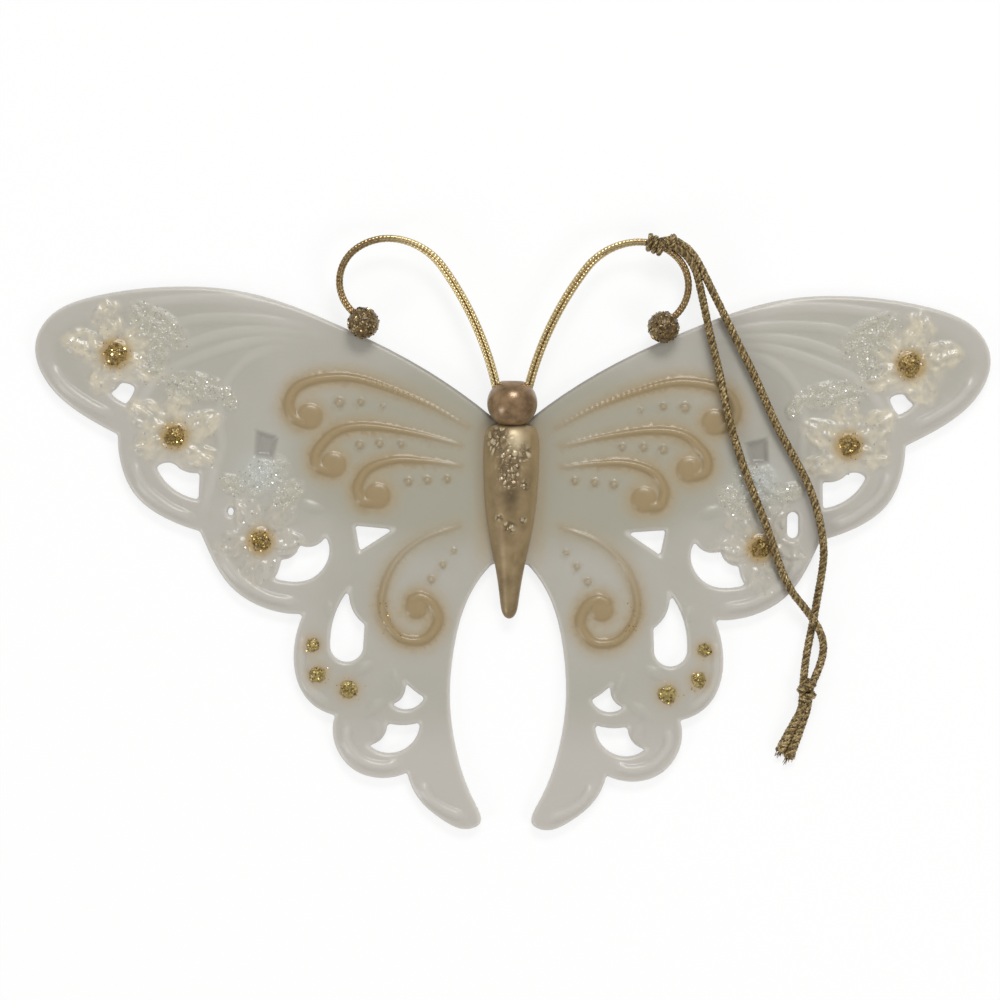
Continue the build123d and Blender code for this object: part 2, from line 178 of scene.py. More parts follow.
class Nodes:
    """A material's node tree, with short calls to add and join nodes."""

    # The mix node's sockets for colours come after those for numbers and vectors
    mix_colours = (6, 7)
    mix_result = 2

    def __init__(self, name: str) -> None:
        """Start a material with one shader.

        Args:
            name: the material's name.
        """
        self.material = bpy.data.materials.new(name)
        self.material.use_nodes = True
        self.tree = self.material.node_tree
        self.shader = self.tree.nodes["Principled BSDF"]

    def add(self, kind: str, **settings: object) -> bpy.types.Node:
        """Add a node.

        Args:
            kind: Blender's name of the node's type.
            settings: values of the node's own properties.

        Returns:
            The new node.
        """
        node = self.tree.nodes.new(kind)
        for name, value in settings.items():
            setattr(node, name, value)
        return node

    def feed(self, socket: Socket, value: object) -> None:
        """Join a socket to another one, or set its value.

        Args:
            socket: the socket to feed.
            value: another socket, or a plain value.
        """
        if isinstance(value, Socket):
            self.tree.links.new(value, socket)
        else:
            socket.default_value = value

    def set(self, **values: object) -> None:
        """Set or join the shader's own sockets, named with underscores."""
        for name, value in values.items():
            self.feed(self.shader.inputs[name.replace("_", " ")], value)

    def attribute(self, mask: Mask) -> Socket:
        """Read one painted mask."""
        return self.add("ShaderNodeAttribute", attribute_name=mask.value).outputs["Fac"]

    def texture(self, kind: str, grain: float) -> bpy.types.Node:
        """Add a texture that follows the piece's own coordinates.

        Args:
            kind: Blender's name of the texture's type.
            grain: the size of its features, in metres.

        Returns:
            The texture.
        """
        texture = self.add(kind)
        self.feed(texture.inputs["Vector"], self.add("ShaderNodeTexCoord").outputs["Object"])
        texture.inputs["Scale"].default_value = 1 / grain
        return texture

    def noise(self, grain: float, detail: float = 3.0) -> Socket:
        """Make cloudy noise.

        Args:
            grain: size of the clouds, in metres.
            detail: how many finer layers it has.

        Returns:
            The noise, from 0 to 1.
        """
        texture = self.texture("ShaderNodeTexNoise", grain)
        texture.inputs["Detail"].default_value = detail
        return texture.outputs["Fac"]

    def cells(self, grain: float) -> bpy.types.Node:
        """Make a texture of small cells, each with its own value."""
        return self.texture("ShaderNodeTexVoronoi", grain)

    def span(self, value: Socket, source: Point, target: Point) -> Socket:
        """Map a value from one range to another, held at both ends.

        Args:
            value: the value to map.
            source: the range that it comes from.
            target: the range that it is spread over.

        Returns:
            The mapped value.
        """
        node = self.add("ShaderNodeMapRange")
        self.feed(node.inputs["Value"], value)
        for name, limit in zip(("From Min", "From Max", "To Min", "To Max"), (*source, *target)):
            node.inputs[name].default_value = limit
        return node.outputs["Result"]

    def clouds(self, clouds: Clouds) -> Socket:
        """Make cloudy noise with its own range."""
        return self.span(self.noise(clouds.grain, clouds.detail), clouds.source, clouds.target)

    def maths(self, kind: str, first: object, second: object) -> Socket:
        """Work out one value from two.

        Args:
            kind: Blender's name of the operation.
            first: a socket or a number.
            second: a socket or a number.

        Returns:
            The worked out value.
        """
        node = self.add("ShaderNodeMath", operation=kind)
        for socket, value in zip(node.inputs, (first, second)):
            self.feed(socket, value)
        return node.outputs["Value"]

    def mix(self, share: Socket, first: object, second: object) -> Socket:
        """Mix two colours.

        Args:
            share: how much of the second colour shows.
            first: a colour or a socket.
            second: a colour or a socket.

        Returns:
            The mixed colour.
        """
        node = self.add("ShaderNodeMix", data_type="RGBA")
        self.feed(node.inputs["Factor"], share)
        for index, value in zip(self.mix_colours, (first, second)):
            self.feed(node.inputs[index], value.linear() if isinstance(value, Colour) else value)
        return node.outputs[self.mix_result]

    def layered(self, base: object, *layers: tuple[Mask, Colour, Socket | None]) -> Socket:
        """Lay colours over a base, each where its mask is painted.

        Args:
            base: the lowest colour, or its socket.
            layers: each layer's mask and colour, and a texture that breaks it up or nothing.

        Returns:
            The colour on top.
        """
        colour = base
        for mask, tint, texture in layers:
            share = self.attribute(mask)
            if texture is not None:
                share = self.maths("MULTIPLY", share, texture)
            colour = self.mix(share, colour, tint)
        return colour

    def polished(self, mask: Mask, roughness: float, polish: float) -> Socket:
        """Make a roughness that falls where a mask is painted."""
        return self.maths("SUBTRACT", roughness, self.maths("MULTIPLY", self.attribute(mask), polish))

    def bump(self, height: Socket, depth: float, strength: float) -> None:
        """Raise the surface by a height map.

        Args:
            height: the height map.
            depth: its depth, in metres.
            strength: how strongly it shows.
        """
        node = self.add("ShaderNodeBump")
        for name, value in (("Strength", strength), ("Distance", depth), ("Height", height)):
            self.feed(node.inputs[name], value)
        self.feed(self.shader.inputs["Normal"], node.outputs["Normal"])

    def roughen(self, grain: Grain) -> None:
        """Make the surface finely uneven."""
        self.bump(self.noise(grain.size), grain.depth, grain.strength)


@dataclass(frozen=True)
class MilkyPlastic:
    """Translucent plastic of the wings, with airbrushed gold and silver frost, and painted highlights, glow
    and shade.
    """

    inner: Colour = Colour(158, 155, 141)
    outer: Colour = Colour(168, 165, 155)
    cloud: Colour = Colour(178, 175, 168)
    band: Colour = Colour(182, 178, 171)
    # Painted highlight on the raised rim lines and veins
    ridge: Colour = Colour(200, 197, 189)
    amber: Colour = Colour(170, 144, 94)
    halo: Colour = Colour(163, 145, 112)
    gilt: Colour = Colour(148, 129, 94)
    # The petals' own cream tint, which shows only in streaks that are painted highlights on their folds
    petal: Colour = Colour(208, 198, 173)
    frost: Colour = Colour(177, 173, 158)
    cool: Colour = Colour(182, 186, 183)
    pane: Colour = Colour(150, 147, 140)
    # Painted shade along the front edge near the body
    edge: Colour = Colour(112, 107, 98)
    # Painted glow along every edge of the plate
    lip_glow: Colour = Colour(214, 211, 205)
    mottle: Clouds = Clouds(9 * MM, source=(0.35, 0.7), target=(0.0, 0.4))
    # Streaks of the petal tint: painted highlights on the folds
    highlight_streaks: Clouds = Clouds(1.5 * MM, 2.0, (0.38, 0.62), (0.3, 1.1))
    spray: Clouds = Clouds(1.1 * MM, 4.0, (0.2, 0.8), (0.75, 1.1))
    crystal: float = 0.35 * MM
    ripple: float = 2.2 * MM
    ripple_detail: float = 2.0
    ripple_share: float = 0.25
    bump_depth: float = 0.25 * MM
    bump_strength: float = 0.5
    roughness: float = 0.36
    polish: float = 0.12
    ior: float = 1.49
    glow: float = 0.2
    glow_depth: float = 2.5 * MM
    glow_spread: Place = (1.0, 0.95, 0.85)
    coat: float = 0.12
    coat_roughness: float = 0.14

    def make(self) -> Material:
        """Build the finish.

        Returns:
            The material.
        """
        nodes = Nodes("milky_plastic")
        mottle, highlight_streaks, spray = map(nodes.clouds, (self.mottle, self.highlight_streaks, self.spray))
        # Ridges, petal streaks and lip carry painted highlights and glow; the edge layer carries painted
        # shade
        colour = nodes.layered(
            self.inner, (Mask.OUTER, self.outer, None), (Mask.OUTER, self.cloud, mottle),
            (Mask.BAND, self.band, None), (Mask.RIDGE, self.ridge, None), (Mask.PETAL, self.petal, highlight_streaks),
            (Mask.FROST, self.frost, None), (Mask.COOL, self.cool, None), (Mask.PANE, self.pane, None),
            (Mask.HALO, self.halo, spray), (Mask.GILT, self.gilt, None), (Mask.AMBER, self.amber, spray),
            (Mask.LIP_GLOW, self.lip_glow, None), (Mask.EDGE, self.edge, None))
        crystals = nodes.cells(self.crystal).outputs["Distance"]
        crystals = nodes.maths("MULTIPLY", crystals, nodes.attribute(Mask.FROST))
        ripples = nodes.maths("MULTIPLY", nodes.noise(self.ripple, self.ripple_detail), self.ripple_share)
        nodes.bump(nodes.maths("ADD", ripples, crystals), self.bump_depth, self.bump_strength)
        nodes.set(Base_Color=colour, Roughness=nodes.polished(Mask.CRUMPLED, self.roughness, self.polish),
                  IOR=self.ior, Subsurface_Weight=self.glow, Subsurface_Scale=self.glow_depth,
                  Subsurface_Radius=self.glow_spread, Coat_Weight=self.coat,
                  Coat_Roughness=self.coat_roughness)
        return nodes.material


@dataclass(frozen=True)
class GoldPaint:
    """Champagne gold paint of the body, glossier over its lumps, with painted highlights and painted shade in
    its colour.
    """

    light: Colour = Colour(158, 137, 102)
    deep: Colour = Colour(128, 108, 76)
    # Painted highlight on the body's sloping sides
    edge: Colour = Colour(172, 151, 113)
    shade: Colour = Colour(80, 65, 42)
    # Painted highlights on the lumps and near the top of the thorax
    highlight_tint: Colour = Colour(214, 198, 164)
    clouds: Clouds = Clouds(2.5 * MM)
    grain: Grain = Grain(0.6 * MM, 0.1 * MM, 0.25)
    metallic: float = 0.35
    roughness: float = 0.44
    polish: float = 0.2
    coat: float = 0.12
    coat_roughness: float = 0.25

    def make(self) -> Material:
        """Build the finish.

        Returns:
            The material.
        """
        nodes = Nodes("gold_paint")
        colour = nodes.layered(
            nodes.mix(nodes.clouds(self.clouds), self.deep, self.light), (Mask.EDGE, self.edge, None),
            (Mask.SHADE, self.shade, None), (Mask.TONE, self.highlight_tint, None))
        nodes.roughen(self.grain)
        nodes.set(Base_Color=colour, Roughness=nodes.polished(Mask.HAMMERED, self.roughness, self.polish),
                  Metallic=self.metallic, Coat_Weight=self.coat, Coat_Roughness=self.coat_roughness)
        return nodes.material


@dataclass(frozen=True)
class BronzeLacquer:
    """Satin bronze lacquer of the bead, uneven like brushed paint."""

    light: Colour = Colour(154, 126, 92)
    deep: Colour = Colour(104, 80, 52)
    clouds: Clouds = Clouds(1.6 * MM, 5.0)
    grain: Grain = Grain(0.5 * MM, 0.06 * MM, 0.25)
    metallic: float = 0.4
    roughness: float = 0.3
    coat: float = 0.35
    coat_roughness: float = 0.22

    def make(self) -> Material:
        """Build the finish.

        Returns:
            The material.
        """
        nodes = Nodes("bronze_lacquer")
        nodes.roughen(self.grain)
        nodes.set(Base_Color=nodes.mix(nodes.clouds(self.clouds), self.deep, self.light),
                  Metallic=self.metallic, Roughness=self.roughness, Coat_Weight=self.coat,
                  Coat_Roughness=self.coat_roughness)
        return nodes.material


@dataclass(frozen=True)
class GoldWire:
    """Bright gold wire that darkens towards its curl."""

    bright: Colour = Colour(228, 208, 158)
    dark: Colour = Colour(128, 100, 62)
    stain: Clouds = Clouds(0.5 * MM, source=(0.45, 0.75), target=(0.0, 0.5))
    grain: Grain = Grain(0.3 * MM, 0.03 * MM, 0.3)
    roughness: float = 0.28

    def make(self) -> Material:
        """Build the finish.

        Returns:
            The material.
        """
        nodes = Nodes("gold_wire")
        share = nodes.maths("ADD", nodes.attribute(Mask.TONE), nodes.clouds(self.stain))
        nodes.roughen(self.grain)
        nodes.set(Base_Color=nodes.mix(share, self.bright, self.dark), Metallic=1.0,
                  Roughness=self.roughness)
        return nodes.material


@dataclass(frozen=True)
class Fleck:
    """Glitter whose flakes differ in tone."""

    name: str
    light: Colour
    deep: Colour
    metallic: float = 1.0
    roughness: float = 0.22

    def make(self) -> Material:
        """Build the finish.

        Returns:
            The material.
        """
        nodes = Nodes(self.name)
        nodes.set(Base_Color=nodes.mix(nodes.attribute(Mask.TONE), self.deep, self.light),
                  Metallic=self.metallic, Roughness=self.roughness)
        return nodes.material


@dataclass(frozen=True)
class GlitterGlue:
    """Clear glue full of dark gold glitter, thinner and paler at its edge."""

    name: str
    light: Colour = Colour(166, 138, 78)
    deep: Colour = Colour(86, 68, 34)
    edge: Colour = Colour(176, 150, 102)
    cell: float = 0.32 * MM
    cell_range: Point = (0.2, 0.9)
    bump_depth: float = 0.15 * MM
    bump_strength: float = 0.6
    metallic: float = 0.4
    roughness: float = 0.32
    coat: float = 0.3
    coat_roughness: float = 0.1

    def make(self) -> Material:
        """Build the finish.

        Returns:
            The material.
        """
        nodes = Nodes(self.name)
        cells = nodes.cells(self.cell)
        share = nodes.span(cells.outputs["Color"], self.cell_range, (0.0, 1.0))
        colour = nodes.layered(nodes.mix(share, self.deep, self.light), (Mask.EDGE, self.edge, None))
        nodes.bump(cells.outputs["Distance"], self.bump_depth, self.bump_strength)
        nodes.set(Base_Color=colour, Metallic=self.metallic, Roughness=self.roughness,
                  Coat_Weight=self.coat, Coat_Roughness=self.coat_roughness)
        return nodes.material


@dataclass(frozen=True)
class MetallicYarn:
    """Bronze yarn with plies of two tones and gold threads."""

    gold: Colour = Colour(208, 186, 138)
    bright: Colour = Colour(134, 112, 70)
    dark: Colour = Colour(82, 66, 38)
    thread: float = 0.28 * MM
    thread_range: Point = (0.5, 0.95)
    sheen: Clouds = Clouds(1.2 * MM, source=(0.3, 0.6), target=(0.3, 1.0))
    grain: Grain = Grain(0.16 * MM, 0.08 * MM, 0.6)
    metallic: float = 0.45
    roughness: float = 0.4

    def make(self) -> Material:
        """Build the finish.

        Returns:
            The material.
        """
        nodes = Nodes("metallic_yarn")
        plies = nodes.mix(nodes.attribute(Mask.TONE), self.dark, self.bright)
        threads = nodes.span(nodes.cells(self.thread).outputs["Color"], self.thread_range, (0.0, 1.0))
        share = nodes.maths("MULTIPLY", threads, nodes.clouds(self.sheen))
        nodes.roughen(self.grain)
        nodes.set(Base_Color=nodes.mix(share, plies, self.gold), Metallic=self.metallic,
                  Roughness=self.roughness)
        return nodes.material


BALL_GLUE = GlitterGlue("ball_glue", Colour(128, 104, 64), Colour(66, 50, 26))
DROP_GLUE = GlitterGlue("drop_glue")
DOT_GLUE = GlitterGlue("dot_glue", Colour(188, 168, 104), Colour(100, 84, 42), Colour(182, 166, 118))
BALL_FLECK = Fleck("ball_fleck", Colour(222, 200, 150), Colour(92, 72, 40))
DROP_FLECK = Fleck("drop_fleck", Colour(232, 204, 132), Colour(116, 92, 44))
SILVER_FLECK = Fleck("silver_fleck", Colour(250, 249, 244), Colour(164, 163, 160), metallic=0.35)
DUST_FLECK = Fleck("gold_dust", Colour(214, 186, 124), Colour(150, 120, 66), metallic=0.4)
CHAMPAGNE_FLECK = Fleck("champagne_fleck", Colour(230, 217, 188), Colour(98, 82, 54), metallic=0.5)


@dataclass(frozen=True)
class GoldFinishes:
    """Gold finishes that several pieces share."""

    wire: Material
    ball_glue: Material
    ball_fleck: Material
    drop_glue: Material
    dot_glue: Material
    drop_fleck: Material


# Shared shaping


def add_piece(name: str, mesh: Mesh, smooth: bool = True) -> Piece:
    """Put a mesh in the scene.

    Args:
        name: the piece's name.
        mesh: its mesh, already in place.
        smooth: whether its faces are shaded smooth.

    Returns:
        The new object.
    """
    mesh.name = name
    piece = bpy.data.objects.new(name, mesh)
    bpy.context.scene.collection.objects.link(piece)
    mesh.polygons.foreach_set("use_smooth", [smooth] * len(mesh.polygons))
    mesh.update()
    return piece


def seat(piece: Piece, finish: Material, rider: Rider, nodes: Sequence[str] = ()) -> Piece:
    """Give a piece its finish, its body and the nodes that it stands for.

    Args:
        piece: the piece, in place.
        finish: its material.
        rider: the body that it moves with.
        nodes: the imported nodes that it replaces.

    Returns:
        The same piece.
    """
    piece.data.materials.clear()
    piece.data.materials.append(finish)
    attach(piece, rider.value)
    if nodes:
        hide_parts(*nodes)
    LOG.info("%s rides on %s", piece.name, rider.value)
    return piece


def baked(mesh: Mesh, kind: str, **settings: object) -> Mesh:
    """Run one modifier over a mesh.

    Args:
        mesh: the mesh to change, which is removed.
        kind: the modifier's type.
        settings: the modifier's values.

    Returns:
        The changed mesh.
    """
    holder = bpy.data.objects.new("holder", mesh)
    bpy.context.scene.collection.objects.link(holder)
    modifier = holder.modifiers.new(kind, kind)
    for name, value in settings.items():
        setattr(modifier, name, value)
    graph = bpy.context.evaluated_depsgraph_get()
    result = bpy.data.meshes.new_from_object(holder.evaluated_get(graph))
    bpy.data.objects.remove(holder)
    bpy.data.meshes.remove(mesh)
    return result


def merged(node: Piece) -> bmesh.types.BMesh:
    """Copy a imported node's loose triangles into one joined surface.

    Args:
        node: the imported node's object.

    Returns:
        The joined copy.
    """
    shape = bmesh.new()
    shape.from_mesh(node.data)
    bmesh.ops.remove_doubles(shape, verts=shape.verts, dist=MERGE_GAP)
    return shape


def to_mesh(shape: bmesh.types.BMesh, name: str) -> Mesh:
    """Write a bmesh out and free it.

    Args:
        shape: the bmesh.
        name: the mesh's name.

    Returns:
        The new mesh.
    """
    mesh = bpy.data.meshes.new(name)
    shape.to_mesh(mesh)
    shape.free()
    return mesh


def coordinates(mesh: Mesh) -> np.ndarray:
    """Read a mesh's points.

    Args:
        mesh: the mesh.

    Returns:
        The points as rows.
    """
    flat = np.zeros(len(mesh.vertices) * 3, np.float32)
    mesh.vertices.foreach_get("co", flat)
    return flat.reshape(-1, 3).astype(float)


def paint(mesh: Mesh, mask: Mask, values: np.ndarray) -> None:
    """Write a mask onto a mesh's points."""
    layer = mesh.attributes.new(mask.value, "FLOAT", "POINT")
    layer.data.foreach_set("value", np.asarray(values, np.float32))


def painted(mesh: Mesh, mask: Mask) -> np.ndarray:
    """Read a mask back from a mesh's points.

    Args:
        mesh: the painted mesh.
        mask: the mask to read.

    Returns:
        The mask's value at each point.
    """
    values = np.zeros(len(mesh.vertices), np.float32)
    mesh.attributes[mask.value].data.foreach_get("value", values)
    return values


def folded(points: np.ndarray) -> np.ndarray:
    """Fold both wings onto the right one, seen from above, in millimetres."""
    return np.column_stack([np.abs(points[:, 0]), points[:, 1]]) / MM


def ramp(values: np.ndarray, low: float, high: float) -> np.ndarray:
    """Rise smoothly from 0 at low to 1 at high."""
    share = np.clip((values - low) / (high - low), 0, 1)
    return share * share * (3 - 2 * share)


def blend(values: np.ndarray, span: Point, ends: Point) -> np.ndarray:
    """Go smoothly from one value to another over a span."""
    return ends[0] + (ends[1] - ends[0]) * ramp(values, *span)


def grooved(depth: float, turns: np.ndarray) -> np.ndarray:
    """Wave between 1 and two depths less, for turns in radians."""
    return 1 - depth + depth * np.cos(turns)


def oval_share(flat: np.ndarray, middle: Point, reach: Point) -> np.ndarray:
    """Measure places against an upright oval, as the squared share of its reach."""
    return (((flat - middle) / reach) ** 2).sum(axis=1)


def smooth_line(points: Sequence[Sequence[float]], steps: int = 8) -> np.ndarray:
    """Run a smooth line through points in the plane or in space.

    Args:
        points: the points that it passes through.
        steps: how many pieces each stretch is cut into.

    Returns:
        The line's points as rows.
    """
    known = np.array([2 * np.array(points[0]) - points[1], *points, 2 * np.array(points[-1]) - points[-2]])
    shares = np.linspace(0, 1, steps, endpoint=False)[:, None]
    rows = []
    for before, start, end, after in zip(known, known[1:], known[2:], known[3:]):
        bend = 2 * before - 5 * start + 4 * end - after
        twist = 3 * start - before - 3 * end + after
        rows.append(start + 0.5 * ((end - before) * shares + bend * shares ** 2 + twist * shares ** 3))
    return np.vstack([*rows, known[-2:-1]])


def along(line: np.ndarray) -> np.ndarray:
    """Measure how far along a line each of its points is."""
    return np.concatenate([[0], np.cumsum(np.linalg.norm(np.diff(line, axis=0), axis=1))])


def respaced(line: np.ndarray, step: float) -> np.ndarray:
    """Space a line's points evenly.

    Args:
        line: the points as rows.
        step: the wanted distance between them.

    Returns:
        The evenly spaced points.
    """
    run = along(line)
    stops = np.linspace(0, run[-1], max(3, int(run[-1] / step)))
    return np.stack([np.interp(stops, run, line[:, axis]) for axis in range(line.shape[1])], axis=1)


def line_field(places: np.ndarray, line: np.ndarray, reach: float) -> tuple[np.ndarray, np.ndarray]:
    """Measure how far places are from a line, and how far along it they are.

    Args:
        places: the places as rows.
        line: the line's points as rows.
        reach: the distance past which a place is only marked as far.

    Returns:
        Each place's distance, and its share of the line's length.
    """
    distance = np.full(len(places), FAR)
    share = np.zeros(len(places))
    near = np.all((places > line.min(0) - reach) & (places < line.max(0) + reach), axis=1)
    spots = places[near]
    best = distance[near]
    best_share = share[near]
    run = along(line)
    for start, end, begun, done in zip(line, line[1:], run, run[1:]):
        step = end - start
        inside = np.clip((spots - start) @ step / (step @ step), 0, 1)
        away = np.linalg.norm(spots - start - inside[:, None] * step, axis=1)
        closer = away < best
        best[closer] = away[closer]
        best_share[closer] = (begun + inside[closer] * (done - begun)) / run[-1]
    distance[near] = best
    share[near] = best_share
    return distance, share


def tube_mesh(line: np.ndarray, radii: np.ndarray, sides: int) -> Mesh:
    """Sweep a round section along a line.

    Args:
        line: the centre line's points as rows, in metres.
        radii: the section's radius at each point.
        sides: the curve's bevel resolution.

    Returns:
        The tube's mesh, with closed ends.
    """
    curve = bpy.data.curves.new("tube", "CURVE")
    curve.dimensions = "3D"
    curve.bevel_depth = 1.0
    curve.bevel_resolution = sides
    curve.use_fill_caps = True
    spline = curve.splines.new("POLY")
    spline.points.add(len(line) - 1)
    spline.points.foreach_set("co", np.column_stack([line, np.ones(len(line))]).ravel())
    spline.points.foreach_set("radius", radii)
    return curve_mesh(curve)


def curve_mesh(curve: bpy.types.Curve) -> Mesh:
    """Turn a curve into a mesh and remove the curve.

    Args:
        curve: the curve.

    Returns:
        The new mesh.
    """
    holder = bpy.data.objects.new(curve.name, curve)
    mesh = bpy.data.meshes.new_from_object(holder)
    bpy.data.objects.remove(holder)
    bpy.data.curves.remove(curve)
    return mesh


def joined(meshes: Sequence[Mesh], name: str) -> Mesh:
    """Join meshes into one.

    Args:
        meshes: the meshes, which are removed.
        name: the new mesh's name.

    Returns:
        The joined mesh.
    """
    shape = bmesh.new()
    for mesh in meshes:
        shape.from_mesh(mesh)
        bpy.data.meshes.remove(mesh)
    bmesh.ops.remove_doubles(shape, verts=shape.verts, dist=TUBE_MERGE_GAP)
    bmesh.ops.recalc_face_normals(shape, faces=shape.faces)
    return to_mesh(shape, name)


def carried_frames(line: np.ndarray) -> tuple[np.ndarray, np.ndarray]:
    """Carry two square directions along a line without twist.

    Args:
        line: the line's points as rows.

    Returns:
        The two directions at each point.
    """
    heading = np.gradient(line, axis=0)
    heading /= np.linalg.norm(heading, axis=1)[:, None]
    side = np.cross(heading[0], (0, 0, 1))
    sides = []
    for way in heading:
        side = side - way * (side @ way)
        side = side / np.linalg.norm(side)
        sides.append(side)
    first = np.array(sides)
    return first, np.cross(heading, first)


@dataclass(frozen=True)
class Twist:
    """Plies laid round a line, which swell between their threads. Sizes are in millimetres."""

    plies: int
    swell: float
    swell_step: float
    crowding: float = 0.94
    sides: int = 1

    def tubes(self, line: np.ndarray, radii: np.ndarray, turns: np.ndarray) -> list[Mesh]:
        """Twist the plies.

        Args:
            line: the centre line's points as rows, evenly spaced, in metres.
            radii: the radius over all plies at each point, in metres.
            turns: the twist at each point, in radians.

        Returns:
            One tube for each ply.
        """
        first, second = carried_frames(line)
        offset = self.crowding / math.sin(math.pi / self.plies)
        ply = radii / (1 + offset)
        swollen = ply * (1 + self.swell * np.cos(along(line) / (self.swell_step * MM) * FULL_TURN))
        out = (ply * offset)[:, None]
        tubes = []
        for count in range(self.plies):
            angle = (turns + FULL_TURN * count / self.plies)[:, None]
            centre = line + out * (np.cos(angle) * first + np.sin(angle) * second)
            tubes.append(tube_mesh(centre, swollen, self.sides))
        return tubes


@dataclass(frozen=True)
class Glitter:
    """Loose flakes: six-sided plates that lie unevenly on a surface, in millimetres and degrees."""

    count: int
    small: float
    large: float
    tilt: float
    seed: int
    sides: int = 6
    thickness: float = 0.03

    def scatter(self, name: str, mesh: Mesh, weight: np.ndarray) -> Piece:
        """Lay flakes over a mesh.

        Args:
            name: the new piece's name.
            mesh: the surface that they lie on.
            weight: how likely each of its points is to carry flakes.

        Returns:
            The flakes as one piece.
        """
        draw = np.random.default_rng(self.seed)
        mesh.calc_loop_triangles()
        corners = np.zeros(len(mesh.loop_triangles) * 3, np.int32)
        mesh.loop_triangles.foreach_get("vertices", corners)
        corners = corners.reshape(-1, 3)
        points = coordinates(mesh)[corners]
        normals = np.cross(points[:, 1] - points[:, 0], points[:, 2] - points[:, 0])
        chance = np.linalg.norm(normals, axis=1) * weight[corners].mean(axis=1)
        picked = draw.choice(len(corners), self.count, p=chance / chance.sum())
        shares = draw.dirichlet((1, 1, 1), self.count)
        places = (points[picked] * shares[:, :, None]).sum(axis=1)
        radii = draw.uniform(self.small * MM, self.large * MM, self.count) / 2
        leans = draw.normal(0, math.tan(math.radians(self.tilt)), (self.count, 3))
        spins = draw.uniform(0, FULL_TURN, self.count)
        depth = self.thickness * MM
        shape = bmesh.new()
        for place, normal, radius, lean, spin in zip(places, normals[picked], radii, leans, spins):
            facing = Vector(normal / max(np.linalg.norm(normal), LEAST_LENGTH) + lean).normalized()
            turned = facing.to_track_quat("Z", "Y").to_matrix().to_4x4() @ Matrix.Rotation(spin, 4, "Z")
            spot = Matrix.Translation(Vector(place) + facing * depth) @ turned
            bmesh.ops.create_cone(shape, cap_ends=True, segments=self.sides, radius1=radius, radius2=radius,
                                  depth=depth, matrix=spot)
        flakes = to_mesh(shape, name)
        paint(flakes, Mask.TONE, np.repeat(draw.random(self.count), 2 * self.sides))
        return add_piece(name, flakes, smooth=False)


# Wings


@dataclass(frozen=True)
class Scroll:
    """A gilt ridge that broadens along its line and curls into a disc. Sizes are in millimetres."""

    line: tuple[Point, ...]
    disc: Point
    disc_radius: float = 2.25
    beaded: bool = False
    gilt_span: Point = (0.0, 0.35)


@dataclass(frozen=True)
class Flower:
    """A moulded flower: its centre, its drop's radius, its cream tint and the middle of each petal."""

    centre: Point
    drop: float
    tint: float
    petals: tuple[Point, ...]


@dataclass(frozen=True)
class Patch:
    """An oval of relief, in millimetres and degrees."""

    centre: Point
    length: float
    width: float
    heading: float

    def field(self, flat: np.ndarray) -> tuple[np.ndarray, np.ndarray]:
        """Measure places against the oval.

        Args:
            flat: places as rows, folded onto the right wing.

        Returns:
            The squared share of the oval's reach, and the share across it.
        """
        turn = math.radians(self.heading)
        out = (flat - self.centre) @ (math.cos(turn), math.sin(turn)) / self.length
        across = (flat - self.centre) @ (-math.sin(turn), math.cos(turn)) / self.width
        return out ** 2 + across ** 2, across


SCROLLS = (
    Scroll(((7.4, 12.2), (15, 16.2), (25, 19.7), (31, 20), (35.7, 18.6), (37.4, 15.8), (36.7, 13.5),
            (34.9, 12.5)), (33.9, 13.5), beaded=True),
    Scroll(((8.5, 9.1), (16, 10.9), (24, 12), (29, 11.2), (32, 8.5), (32.8, 6.6), (32.3, 5.1),
            (30.8, 4.5)), (29.8, 5.5)),
    Scroll(((8.5, 5.6), (14, 6.3), (19.5, 6.4), (23.8, 4.9), (25.6, 2.2), (25.4, 0.4), (24.7, -0.6),
            (23.3, -0.7)), (22.3, 0.4)),
    Scroll(((8.6, -4.5), (14.6, -6.7), (19, -10.4), (21.2, -15.5), (21, -19.8), (18.2, -23.3),
            (14.2, -23.6), (11.9, -20.6), (12.9, -17.7), (14.8, -16.5), (16.2, -17)), (15.5, -18.2),
           disc_radius=2.0, gilt_span=(0.15, 0.7)),
)
RIMS = (
    ((77.4, 21.4), (74.6, 17.8), (70.8, 15.1), (67.4, 13.4)),
    ((63.4, 5.4), (61.4, 1.4), (57.3, -2), (53.4, -3.7)),
    ((48.7, -9.4), (45.4, -13.6), (40.6, -16.7), (35.8, -17.6)),
    ((34.6, -23.2), (34.9, -27), (34, -31.2), (30.6, -34.5)),
    ((27, -38), (26.8, -41), (24.2, -44), (20.8, -44.9), (18, -44.2)),
    ((14.4, -47.6), (12.6, -50.4), (9.8, -52.2), (7, -53.2)),
)
VEINS = (
    ((33, 29.6), (43, 32.2), (52.7, 32.9), (63.9, 31.7)),
    ((32, 28), (43, 29.6), (52.7, 29.5), (58, 28.1)),
    ((31, 26.7), (41, 27.8), (49.5, 26.8), (57, 24.1)),
    ((31, 25.3), (39, 26.4), (46.2, 25.3), (55.8, 21.7), (60.4, 18.2), (62.8, 14.6), (65, 11)),
    ((33, 24.2), (38.5, 25), (43.2, 23.6), (46.6, 20.8), (48.3, 17.4), (49, 12.6), (48.5, 7.9), (50.1, 2.6),
     (51.2, -1.7), (51.7, -5)),
)
